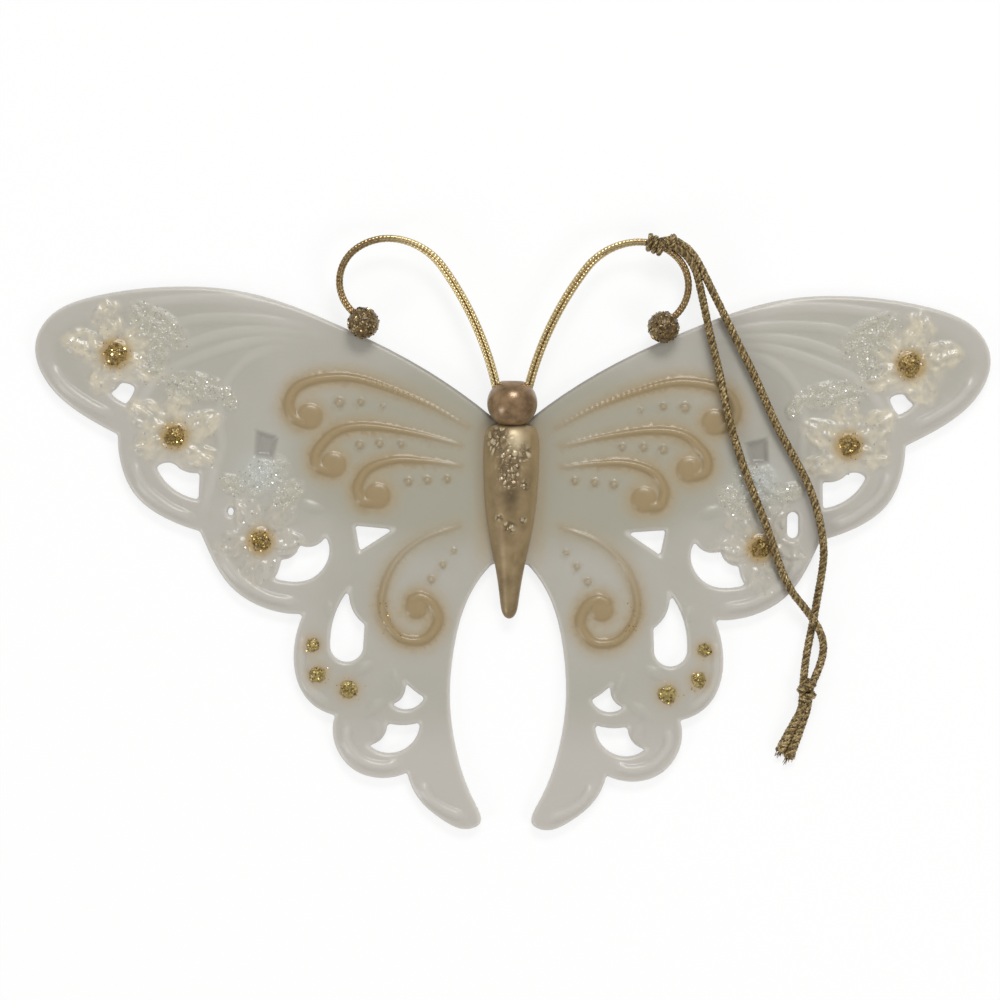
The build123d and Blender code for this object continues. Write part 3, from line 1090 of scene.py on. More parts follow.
FLOWERS = (
    Flower((66.5, 23.5), 2.2, 0.65, ((71.5, 25), (67.6, 28.7), (62.1, 26.8), (61.7, 21.6), (68.3, 19.4))),
    Flower((56.4, 9.9), 2.0, 0.55, ((52, 11.8), (52.4, 7.2), (56, 14.6), (60.8, 13), (60.6, 8.6))),
    Flower((41.8, -7.5), 1.9, 0.2, ((38.8, -3.4), (44.2, -3.2), (37.2, -8), (46.3, -8.2), (42.4, -12.2))),
)
PATCHES = (
    Patch((59.5, 28), 6.5, 3.2, 35), Patch((59.6, 23.4), 3.8, 2.4, 100),
    Patch((53.5, 18.2), 6.5, 2.6, 8), Patch((47.6, 16.4), 2.6, 1.6, 60),
    Patch((41.5, 3.4), 5.0, 3.4, 150), Patch((37.4, 0.2), 3.6, 2.2, 140), Patch((46.5, 1.8), 3.0, 1.8, 20),
)
LEAVES = (
    Patch((24.4, -28.6), 2.2, 1.2, 150), Patch((18.6, -30.9), 2.6, 1.1, 70),
    Patch((22.4, -35.2), 2.6, 1.3, 140), Patch((21.6, -39.4), 2.6, 1.2, 70),
    Patch((29.6, -19.2), 2.4, 1.1, 60), Patch((33.4, -1.6), 2.6, 1.2, 20),
)
FLOWER_DROPS = tuple((flower.centre, flower.drop) for flower in FLOWERS)
HINDWING_DROPS = (((32.8, -24.7), 1.1), ((31.9, -29.7), 1.3), ((26.7, -32.1), 1.5))
SMALL_DOTS = (
    ((21.6, 15.4), 0.35), ((25.3, 16), 0.6), ((28.9, 15.9), 0.85),
    ((18.5, 9.1), 0.6), ((22.1, 9.1), 0.7), ((25.4, 8.8), 0.75),
    ((10.7, 3.3), 0.6), ((14, 3.1), 0.65), ((17.2, 2.8), 0.7),
    ((9.4, -8.7), 0.4), ((11.2, -11), 0.55), ((13.1, -13.5), 0.65),
)
WINDOW = ((39.2, 9.9), (42.7, 10.9), (42.9, 6.9), (40, 6.5))


@dataclass
class Wings:
    """The moulded plate of both wings. Lengths are in millimetres, and strengths run from 0 to 1."""

    # Plate
    thickness: float = 2.2
    relief: float = 0.5
    voxel: float = 0.26
    kept_share: float = 0.36
    back_facing: float = -0.9
    back_level: float = 0.1
    edge_step: float = 0.12
    edge_round: float = 0.9
    edge_drop: float = 0.55
    lift_span: Point = (0.05, 0.6)

    # Scrolls, their discs and the small dots
    scroll_widths: Point = (0.6, 1.9)
    scroll_reach: float = 6.0
    ridge_power: float = 0.75
    ridge_start: Point = (-0.04, 0.1)
    slim_span: Point = (0.1, 0.5)
    slim_heights: Point = (0.6, 1.0)
    bead_step: float = 0.95
    bead_depth: float = 0.28
    bead_span: Point = (0.35, 0.6)
    disc_power: int = 4
    disc_height: float = 0.9
    disc_blur: float = 0.3
    gilt_edges: Point = (-0.1, 0.45)
    gilt_strengths: Point = (0.35, 0.9)
    halo_reach: float = 1.5
    halo_span: Point = (0.1, 0.6)
    halo_strengths: Point = (0.3, 0.8)
    disc_halo: float = 0.75
    dot_height: float = 1.2
    dot_power: float = 0.7
    dot_span: Point = (0.7, 1.3)
    dot_gilt: float = 0.45
    dot_halo: float = 0.3

    # Rim lines and veins
    line_reach: float = 3.0
    rim_half: float = 0.95
    rim_fades: tuple[Point, Point] = ((-0.05, 0.15), (-0.05, 0.15))
    vein_half: float = 1.0
    vein_height: float = 0.18
    vein_fades: tuple[Point, Point] = ((0.0, 0.35), (0.0, 0.12))

    # Petals, frosted patches and leaves
    patch_height: float = 0.32
    patch_groove: float = 0.2
    patch_grooves: float = 9.0
    frost_span: Point = (0.15, 1.25)
    leaf_power: float = 1.5
    petal_half: float = 2.5
    petal_gap: float = 1.2
    petal_power: float = 0.7
    petal_fullness: float = 1.2
    petal_groove: float = 0.3
    petal_grooves: float = 8.0
    groove_fan: float = 2.0
    petal_span: Point = (0.4, 1.5)
    petal_wave: float = 0.9
    wave_length: float = 2.4
    wave_layer: float = 5.0
    flower_reach: float = 10.08
    ruffle_span: Point = (4.32, 7.2)
    ruffle: float = 0.55
    pad_radius: float = 2.7
    pad_edges: Point = (-0.9, 0.2)
    folds: tuple[Point, ...] = ((1.9, 1.0), (0.9, 0.4))
    fold_level: float = 0.35
    fold_depth: float = 1.6
    crinkle: float = 0.4
    petal_crinkle: float = 0.75

    # Clear pane, and gold round the drops and beside the body
    window_depth: float = 0.8
    window_blur: Point = (-0.5, 0.7)
    amber_start: float = 0.8
    amber_reach: float = 1.15
    amber_strengths: Point = (1.0, 0.6)
    body_half: float = 4.65
    stain_bottom: Point = (-14.0, -6.0)
    stain_top: Point = (11.5, 14.5)
    stain_reach: float = 1.3
    stain: float = 0.6

    # Tints, painted highlights on the ridges, painted glow on the edges and painted shade on the front edge
    upper_span: Point = (0.6, 1.4)
    # Painted highlight on the rim lines and veins, held under a limit
    ridge_tint: float = 0.45
    ridge_highlight_limit: float = 0.2
    cool_middle: Point = (42.0, 4.0)
    cool_reach: Point = (3.4, 3.4)
    cool: float = 0.75
    heart_middle: Point = (12.0, 7.0)
    heart_reach: Point = (28.0, 17.0)
    heart_span: Point = (0.4, 1.15)
    band_out: Point = (26.0, 38.0)
    band_away: Point = (2.4, 4.0)
    band: float = 0.5
    tail_span: Point = (32.0, 44.0)
    # Painted glow along every edge of the plate
    lip_glow_span: Point = (0.1, 0.75)
    lip_glow: float = 0.5
    # Painted shade along the front edge near the body
    edge_shade_up: Point = (11.0, 14.0)
    edge_shade_out: Point = (14.0, 34.0)
    edge_span: Point = (0.15, 0.7)
    edge: float = 0.7

    # Loose flakes
    flake_power: float = 1.5
    flake_spill: float = 0.15
    dust_half: float = 0.8
    dust_start: Point = (0.42, 0.5)
    dust_end: Point = (0.62, 0.72)
    dust: float = 0.8
    ring_middle: float = 0.9
    ring_width: float = 0.22
    ring_inside: float = 0.75
    dust_level: float = 1.5
    silver_flakes: Glitter = Glitter(count=1200, small=0.14, large=0.36, tilt=20, seed=11)
    gold_flakes: Glitter = Glitter(count=320, small=0.14, large=0.32, tilt=14, seed=12)

    def slab(self, node: Piece) -> tuple[Mesh, KDTree]:
        """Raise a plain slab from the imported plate's back face.

        Args:
            node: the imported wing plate.

        Returns:
            The slab, and a tree of places along its edges.
        """
        shape = merged(node)
        level = self.back_level * MM
        raised = [face for face in shape.faces
                  if face.normal.z > self.back_facing or face.calc_center_median().z > level]
        bmesh.ops.delete(shape, geom=raised, context="FACES")
        places = []
        for edge in shape.edges:
            if edge.is_boundary:
                start, end = (vertex.co.copy() for vertex in edge.verts)
                steps = max(1, math.ceil((end - start).length / (self.edge_step * MM)))
                places += [start.lerp(end, step / steps) for step in range(steps)]
        tree = KDTree(len(places))
        for index, place in enumerate(places):
            tree.insert(place, index)
        tree.balance()
        grown = bmesh.ops.extrude_face_region(shape, geom=shape.faces[:], use_keep_orig=True)["geom"]
        tops = [item for item in grown if isinstance(item, bmesh.types.BMVert)]
        bmesh.ops.translate(shape, verts=tops, vec=(0, 0, self.thickness * MM))
        bmesh.ops.recalc_face_normals(shape, faces=shape.faces)
        return to_mesh(shape, "slab"), tree

    def edge_distance(self, points: np.ndarray, tree: KDTree) -> np.ndarray:
        """Measure how far points are from the nearest edge of the plate, seen from above."""
        return np.array([tree.find((x, y, 0))[2] for x, y, _ in points]) / MM

    def scroll_relief(self, flat: np.ndarray) -> tuple[np.ndarray, np.ndarray, np.ndarray]:
        """Work out the gilt scrolls, their discs and the small dots beside them.

        Args:
            flat: places as rows, folded onto the right wing.

        Returns:
            Height over the plate, gilt cover and airbrushed halo at each place.
        """
        height, gilt, halo = (np.zeros(len(flat)) for _ in range(3))
        slim, broad = self.scroll_widths
        for scroll in SCROLLS:
            line = smooth_line(scroll.line)
            away, share = line_field(flat, line, self.scroll_reach)
            half = (slim + (broad - slim) * share) / 2
            ridge = np.clip(1 - (away / half) ** 2, 0, 1) ** self.ridge_power
            ridge *= ramp(share, *self.ridge_start)
            ridge *= blend(share, self.slim_span, self.slim_heights)
            if scroll.beaded:
                beads = grooved(self.bead_depth, share * along(line)[-1] / self.bead_step * FULL_TURN)
                ridge *= 1 + (beads - 1) * (1 - ramp(share, *self.bead_span))
            radius = scroll.disc_radius
            disc = np.linalg.norm(flat - scroll.disc, axis=1)
            dome = np.clip(1 - (disc / radius) ** self.disc_power, 0, 1)
            height = np.maximum(height, self.relief * np.maximum(ridge, self.disc_height * dome))
            on_ridge = 1 - ramp(away, half + self.gilt_edges[0], half + self.gilt_edges[1])
            on_disc = 1 - ramp(disc, radius - self.disc_blur, radius + self.disc_blur)
            strength = blend(share, scroll.gilt_span, self.gilt_strengths)
            gilt = np.maximum(gilt, np.maximum(on_ridge, on_disc) * strength)
            strength = blend(share, self.halo_span, self.halo_strengths)
            soft = strength * np.exp(-(np.clip(away - half, 0, None) / self.halo_reach) ** 2)
            around = self.disc_halo * np.exp(-(np.clip(disc - radius, 0, None) / self.halo_reach) ** 2)
            halo = np.maximum(halo, np.maximum(soft, around))
        for place, radius in SMALL_DOTS:
            dot = np.linalg.norm(flat - place, axis=1) / radius
            dome = np.clip(1 - dot ** 2, 0, 1) ** self.dot_power
            height = np.maximum(height, self.dot_height * self.relief * dome)
            gilt = np.maximum(gilt, self.dot_gilt * (1 - ramp(dot, *self.dot_span)))
            halo = np.maximum(halo, self.dot_halo * np.exp(-np.clip(dot - 1, 0, None) ** 2))
        return height, gilt, halo

    def line_relief(self, flat: np.ndarray) -> np.ndarray:
        """Work out the rim lines along the scallops and the fan of veins.

        Args:
            flat: places as rows, folded onto the right wing.

        Returns:
            Height over the plate at each place.
        """
        height = np.zeros(len(flat))
        kinds = ((RIMS, self.relief, self.rim_half, self.rim_fades),
                 (VEINS, self.vein_height, self.vein_half, self.vein_fades))
        for lines, top, half, (first, last) in kinds:
            for points in lines:
                away, share = line_field(flat, smooth_line(points), self.line_reach)
                fade = ramp(share, *first) * ramp(1 - share, *last)
                height = np.maximum(height, top * fade * np.clip(1 - (away / half) ** 2, 0, 1))
        return height

    def crumple(self, flat: np.ndarray, cover: np.ndarray) -> np.ndarray:
        """Crumple the covered places into small folds.

        Args:
            flat: places as rows, in millimetres.
            cover: how strongly each place is crumpled.

        Returns:
            Height to add at each place.
        """
        folds = np.zeros(len(flat))
        for index in np.nonzero(cover > LEAST_COVER)[0]:
            spot = Vector((*flat[index], 0))
            for size, share in self.folds:
                folds[index] += share * (self.fold_level - abs(noise.noise(spot / size)) * self.fold_depth)
        return self.crinkle * folds * cover

    def wavy(self, flat: np.ndarray) -> np.ndarray:
        """Shift places near the flowers a little, so that petals get uneven outlines.

        Args:
            flat: places as rows, folded onto the right wing.

        Returns:
            The shifted places.
        """
        shifted = flat.copy()
        centres = np.array([flower.centre for flower in FLOWERS])
        near = np.linalg.norm(flat[:, None] - centres, axis=2).min(axis=1) < self.flower_reach
        for index in np.nonzero(near)[0]:
            spot = Vector((*flat[index], 0)) / self.wave_length
            side = spot + Vector((0, 0, self.wave_layer))
            shifted[index] += self.petal_wave * np.array((noise.noise(spot), noise.noise(side)))
        return shifted

    def flower_relief(self, flat: np.ndarray) -> tuple[np.ndarray, np.ndarray, np.ndarray]:
        """Work out the flowers' grooved petals, the frosted patches behind them and the small leaves.

        Args:
            flat: places as rows, folded onto the right wing.

        Returns:
            Height over the plate, petal cover and frost at each place.
        """
        height, petals, frost, pads = (np.zeros(len(flat)) for _ in range(4))
        wavy = self.wavy(flat)
        pad_span = [self.pad_radius + edge for edge in self.pad_edges]
        for patch in PATCHES:
            oval, across = patch.field(flat)
            frost = np.maximum(frost, 1 - ramp(oval, *self.frost_span))
            dome = np.sqrt(np.clip(1 - oval, 0, 1))
            dome *= grooved(self.patch_groove, across * self.patch_grooves)
            height = np.maximum(height, self.patch_height * dome)
        for leaf in LEAVES:
            oval, _ = leaf.field(flat)
            height = np.maximum(height, self.patch_height * np.clip(1 - oval, 0, 1) ** self.leaf_power)
        for flower in FLOWERS:
            for middle in flower.petals:
                reach = np.subtract(middle, flower.centre)
                length = np.linalg.norm(reach)
                way = reach / length
                out = (wavy - middle) @ way / (length - self.petal_gap)
                across = (wavy - middle) @ (-way[1], way[0]) / self.petal_half
                oval = out ** 2 + across ** 2
                crown = np.minimum(1, self.petal_fullness * np.clip(1 - oval, 0, 1) ** self.petal_power)
                grooves = grooved(self.petal_groove, across * (self.petal_grooves + self.groove_fan * out))
                height = np.maximum(height, self.relief * crown * grooves)
                petals = np.maximum(petals, 1 - ramp(oval, *self.petal_span))
            away = np.linalg.norm(flat - flower.centre, axis=1)
            pads = np.maximum(pads, 1 - ramp(away, *pad_span))
            petals = np.maximum(petals, self.ruffle * (1 - ramp(away, *self.ruffle_span)))
        height += self.crumple(flat, np.maximum(self.petal_crinkle * petals, frost) * (1 - pads))
        return np.maximum(height, self.relief * pads), petals, frost

    def petal_tint(self, flat: np.ndarray) -> np.ndarray:
        """Work out how cream the nearest flower's petals are.

        Args:
            flat: places as rows, folded onto the right wing.

        Returns:
            The tint at each place.
        """
        tint = np.zeros(len(flat))
        for flower in FLOWERS:
            near = np.linalg.norm(flat - flower.centre, axis=1) < self.flower_reach
            tint = np.where(near, np.maximum(tint, flower.tint), tint)
        return tint

    def window_cover(self, flat: np.ndarray) -> np.ndarray:
        """Work out the thin clear pane, whose corners are listed clockwise.

        Args:
            flat: places as rows, folded onto the right wing.

        Returns:
            The pane's cover at each place.
        """
        inside = np.full(len(flat), FAR)
        for start, end in zip(WINDOW, (*WINDOW[1:], WINDOW[0])):
            step = np.subtract(end, start)
            inward = np.array((step[1], -step[0])) / np.linalg.norm(step)
            inside = np.minimum(inside, (flat - start) @ inward)
        return ramp(inside, *self.window_blur)

    def gold_stain(self, flat: np.ndarray) -> tuple[np.ndarray, np.ndarray]:
        """Work out the gold that spreads round the glitter drops and beside the body.

        Args:
            flat: places as rows, folded onto the right wing.

        Returns:
            The amber stain round the drops, and the pale gold beside the body.
        """
        amber = np.zeros(len(flat))
        for drops, strength in zip((FLOWER_DROPS, HINDWING_DROPS), self.amber_strengths):
            for place, radius in drops:
                away = np.clip(np.linalg.norm(flat - place, axis=1) - self.amber_start * radius, 0, None)
                amber = np.maximum(amber, strength * np.exp(-(away / self.amber_reach) ** 2))
        out, up = flat.T
        beside = np.clip(out - self.body_half, 0, None)
        height = ramp(up, *self.stain_bottom) * (1 - ramp(up, *self.stain_top))
        return amber, self.stain * height * np.exp(-(beside / self.stain_reach) ** 2)

    def build(self, node: Piece) -> Piece:
        """Mould the plate with its relief and paint its masks.

        Args:
            node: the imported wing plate.

        Returns:
            The wings.
        """
        slab, tree = self.slab(node)
        mesh = baked(slab, "REMESH", mode="VOXEL", voxel_size=self.voxel * MM)
        points = coordinates(mesh)
        flat = folded(points)
        away = self.edge_distance(points, tree)
        inset = np.clip(1 - away / self.edge_round, 0, 1)
        top = self.thickness - self.edge_drop * (1 - np.sqrt(np.clip(1 - inset ** 2, 0, 1)))
        lift = np.maximum(self.scroll_relief(flat)[0], self.line_relief(flat))
        lift = np.maximum(lift, self.flower_relief(flat)[0]) * ramp(away, *self.lift_span)
        top += lift - self.window_depth * self.window_cover(flat)
        share = np.clip(points[:, 2] / (self.thickness * MM), 0, 1)
        points[:, 2] = share * top * MM
        mesh.vertices.foreach_set("co", points.astype(np.float32).ravel())
        mesh = baked(mesh, "DECIMATE", ratio=self.kept_share)
        self.paint_masks(mesh, tree)
        return add_piece("wings", mesh)

    def paint_masks(self, mesh: Mesh, tree: KDTree) -> None:
        """Paint gold, petals, frost, the pane, the tinted band, and the painted highlights, glow and shade
        along ridges and edges onto the finished plate.

        Args:
            mesh: the finished plate.
            tree: places along its edges.
        """
        points = coordinates(mesh)
        flat = folded(points)
        out, up = flat.T
        upper = ramp(points[:, 2] / MM, *self.upper_span)
        away = self.edge_distance(points, tree)
        _, gilt, halo = self.scroll_relief(flat)
        _, petals, frost = self.flower_relief(flat)
        amber, beside = self.gold_stain(flat)
        # Painted highlight on the rim lines and veins
        ridge = np.minimum(self.ridge_highlight_limit, self.ridge_tint * self.line_relief(flat) / self.relief)
        cool = self.cool * np.exp(-oval_share(flat, self.cool_middle, self.cool_reach))
        heart = oval_share(flat, self.heart_middle, self.heart_reach)
        band = self.band * ramp(out, *self.band_out) * (1 - ramp(away, *self.band_away))
        # Painted shade along the front edge near the body
        edge_shade = ramp(up, *self.edge_shade_up) * (1 - ramp(out, *self.edge_shade_out))
        masks = {
            Mask.GILT: gilt * upper,
            Mask.HALO: np.maximum(halo, beside) * upper,
            Mask.AMBER: amber * upper,
            Mask.RIDGE: ridge * upper,
            Mask.PETAL: petals * self.petal_tint(flat) * upper,
            Mask.FROST: frost * upper,
            Mask.COOL: cool * upper,
            Mask.CRUMPLED: np.maximum(petals, frost) * upper,
            Mask.PANE: self.window_cover(flat) * upper,
            Mask.OUTER: ramp(heart, *self.heart_span),
            Mask.BAND: np.maximum(band, ramp(-up, *self.tail_span)),
            # Painted glow along every edge
            Mask.LIP_GLOW: self.lip_glow * (1 - ramp(away, *self.lip_glow_span)),
            # Painted shade along the front edge
            Mask.EDGE: self.edge * edge_shade * (1 - ramp(away, *self.edge_span)),
        }
        for mask, values in masks.items():
            paint(mesh, mask, values)

    def gold_dust(self, points: np.ndarray) -> np.ndarray:
        """Work out how much loose gold glitter lies round the drops and on the last scroll's loop.

        Args:
            points: the plate's points, in metres.

        Returns:
            The weight of glitter at each point.
        """
        flat = folded(points)
        away, share = line_field(flat, smooth_line(SCROLLS[-1].line), self.line_reach)
        weight = self.dust * (away < self.dust_half) * ramp(share, *self.dust_start)
        weight *= 1 - ramp(share, *self.dust_end)
        for place, radius in (*FLOWER_DROPS, *HINDWING_DROPS):
            away = np.linalg.norm(flat - place, axis=1) / radius
            ring = np.exp(-((away - self.ring_middle) / self.ring_width) ** 2) * (away > self.ring_inside)
            weight = np.maximum(weight, ring)
        return weight * (points[:, 2] > self.dust_level * MM)

    def dress(self, piece: Piece, silver: Material, gold: Material) -> None:
        """Finish the plate and lay loose flakes on its flowers and frosted patches.

        Args:
            piece: the wings.
            silver: the finish of the flakes on the frosted patches.
            gold: the finish of the flakes round the drops.
        """
        seat(piece, MilkyPlastic().make(), Rider.ORNAMENT, ["wing_plate"])
        weight = painted(piece.data, Mask.FROST) ** self.flake_power
        weight += self.flake_spill * painted(piece.data, Mask.CRUMPLED)
        cover = self.silver_flakes.scatter("frost_flakes", piece.data, weight)
        seat(cover, silver, Rider.ORNAMENT)
        weight = self.gold_dust(coordinates(piece.data))
        cover = self.gold_flakes.scatter("gold_dust", piece.data, weight)
        seat(cover, gold, Rider.ORNAMENT)


# Body and head


@dataclass(frozen=True)
class LumpSpot:
    """A spot of the body with coarse lumps and flakes, in millimetres, and how strongly it shows."""

    centre: Point
    reach: Point
    strength: float


@dataclass
class Body:
    """The half-round body. Lengths are in millimetres, and strengths run from 0 to 1."""

    voxel: float = 0.15
    neck_span: Point = (11.9, 12.4)
    cover_span: Point = (0.08, 0.6)
    lump: float = 1.05
    crease: float = 0.45
    dent: float = 0.36
    warp: float = 0.35
    warp_layers: Place = (0.0, 5.0, 10.0)
    tone_spread: float = 9.0
    # Painted highlight on the sloping sides, fading out towards the tip
    sheen_slope: Point = (0.15, 0.7)
    sheen_up: Point = (-14.0, -2.0)
    edge: float = 0.85
    shade_middle: Point = (0.0, 0.6)
    shade_reach: Point = (1.5, 2.4)
    shade: float = 0.8
    crease_shade: float = 0.7
    tip_span: Point = (10.0, 16.0)
    tip_shade: float = 0.22
    # Painted highlights: a broad one near the top of the thorax, and one on each lump's top, scaled by that
    # lump's own tone
    highlight_middle: Point = (0.8, 10.1)
    highlight_reach: Point = (1.4, 2.0)
    pale: float = 0.85
    highlight_tones: Point = (0.35, 0.9)
    highlight_heights: Point = (0.2, 0.8)
    bright: float = 0.9
    lit_span: Point = (3.6, 5.2)
    flake_power: float = 1.5
    flakes: Glitter = Glitter(count=48, small=0.25, large=0.65, tilt=12, seed=23)
    spots: tuple[LumpSpot, ...] = (
        LumpSpot((-2.4, 9.9), (1.7, 2.4), 1.0), LumpSpot((-0.4, 5.8), (1.8, 3.9), 1.0),
        LumpSpot((2.2, 8.1), (1.1, 1.5), 0.9), LumpSpot((2.5, 2.5), (0.8, 0.9), 0.9),
        LumpSpot((-0.1, -4.5), (0.9, 1.0), 1.0), LumpSpot((-1.9, -3.1), (0.6, 0.6), 0.7),
        LumpSpot((2.1, -3.3), (0.6, 0.6), 0.7),
    )

    def cover(self, points: np.ndarray) -> np.ndarray:
        """Work out how strongly lumps and flakes show.

        Args:
            points: the body's points, in millimetres.

        Returns:
            The cover at each point, from 0 to 1.
        """
        flat = points[:, :2]
        cover = np.zeros(len(points))
        for spot in self.spots:
            cover = np.maximum(cover, spot.strength * np.exp(-oval_share(flat, spot.centre, spot.reach)))
        return ramp(cover, *self.cover_span) * (1 - ramp(points[:, 1], *self.neck_span))

    def lumps(self, points: np.ndarray, cover: np.ndarray) -> tuple[np.ndarray, np.ndarray]:
        """Work out rounded lumps with creases between them.

        Args:
            points: the body's points, in millimetres.
            cover: how strongly the lumps show at each point.

        Returns:
            The height of the lumps, from 0 in a crease to 1, and each lump's own tone.
        """
        height = np.ones(len(points))
        tone = np.zeros(len(points))
        for index in np.nonzero(cover > LEAST_COVER)[0]:
            spot = Vector(points[index]) / self.lump
            shift = [noise.noise(spot + Vector((0, 0, layer))) for layer in self.warp_layers]
            distances, centres = noise.voronoi(spot + Vector(shift) * self.warp)
            height[index] = min(1.0, (distances[1] - distances[0]) / self.crease)
            tone[index] = (1 + noise.cell(centres[0] * self.tone_spread)) / 2
        return height, tone

    def build(self, node: Piece) -> Piece:
        """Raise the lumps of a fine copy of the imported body.

        Args:
            node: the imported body.

        Returns:
            The body.
        """
        mesh = baked(to_mesh(merged(node), "body"), "REMESH", mode="VOXEL", voxel_size=self.voxel * MM)
        points = coordinates(mesh)
        flat = points[:, :2] / MM
        cover = self.cover(points / MM)
        height, tone = self.lumps(points / MM, cover)
        normals = np.array([vertex.normal for vertex in mesh.vertices])
        points -= normals * ((1 - np.sqrt(height)) * cover * self.dent * MM)[:, None]
        mesh.vertices.foreach_set("co", points.astype(np.float32).ravel())
        # Painted highlight on the sloping sides
        side_sheen = ramp(1 - normals[:, 2], *self.sheen_slope)
        # The shade mask: a darker middle, and painted shade in the creases and towards the tip
        dark_middle = self.shade * np.exp(-oval_share(flat, self.shade_middle, self.shade_reach))
        creases = self.crease_shade * (1 - height) * cover
        tip = self.tip_shade * ramp(-flat[:, 1], *self.tip_span)
        # Painted highlights on the lumps' tops, partly each lump's own tone, and a broad painted highlight
        # near the top
        lump_highlights = cover * ramp(tone, *self.highlight_tones) * ramp(height, *self.highlight_heights)
        pale = self.pale * np.exp(-oval_share(flat, self.highlight_middle, self.highlight_reach))
        paint(mesh, Mask.HAMMERED, cover)
        paint(mesh, Mask.EDGE, self.edge * side_sheen * ramp(flat[:, 1], *self.sheen_up))
        paint(mesh, Mask.SHADE, np.maximum(np.maximum(dark_middle, creases), tip))
        paint(mesh, Mask.TONE, np.maximum(self.bright * lump_highlights, pale))
        return add_piece("gold_body", mesh)

    def dress(self, piece: Piece, champagne: Material) -> None:
        """Paint the body and lay flakes on its lumps.

        Args:
            piece: the body.
            champagne: the flakes' finish.
        """
        seat(piece, GoldPaint().make(), Rider.ORNAMENT, ["body"])
        points = coordinates(piece.data) / MM
        weight = ramp(points[:, 2], *self.lit_span) * self.cover(points) ** self.flake_power
        cover = self.flakes.scatter("body_flakes", piece.data, weight)
        seat(cover, champagne, Rider.ORNAMENT)


@dataclass
class HeadBead:
    """The turned bead that makes the head. Sizes are in millimetres."""

    diameter: float = 8.4
    length: float = 7.35
    end_radius: float = 1.8
    bore: float = 0.95
    centre: Place = (0.0, 16.175, 4.4)
    rings: int = 28
    segments: int = 96

    def build(self) -> Piece:
        """Spin the bead's section round its bore.

        Returns:
            The bead.
        """
        half = self.length / 2
        equator = self.diameter / 2
        offset = (equator ** 2 - self.end_radius ** 2 - half ** 2) / (2 * (equator - self.end_radius))
        radius = equator - offset
        widest = math.asin(half / radius)
        section = [(self.bore, -half)]
        for step in range(self.rings + 1):
            angle = -widest + 2 * widest * step / self.rings
            section.append((offset + radius * math.cos(angle), radius * math.sin(angle)))
        section.append((self.bore, half))
        shape = bmesh.new()
        corners = [shape.verts.new((out * MM, up * MM, 0)) for out, up in section]
        edges = [shape.edges.new(pair) for pair in zip(corners, corners[1:] + corners[:1])]
        bmesh.ops.spin(shape, geom=corners + edges, cent=(0, 0, 0), axis=(0, 1, 0), angle=FULL_TURN,
                       steps=self.segments, use_merge=True)
        bmesh.ops.remove_doubles(shape, verts=shape.verts, dist=MERGE_GAP)
        bmesh.ops.recalc_face_normals(shape, faces=shape.faces)
        bmesh.ops.translate(shape, verts=shape.verts, vec=Vector(self.centre) * MM)
        return add_piece("bead_head", to_mesh(shape, "bead_head"))

    def dress(self, piece: Piece) -> None:
        """Lacquer the bead."""
        seat(piece, BronzeLacquer().make(), Rider.ORNAMENT, ["head_bead"])


# Antennae


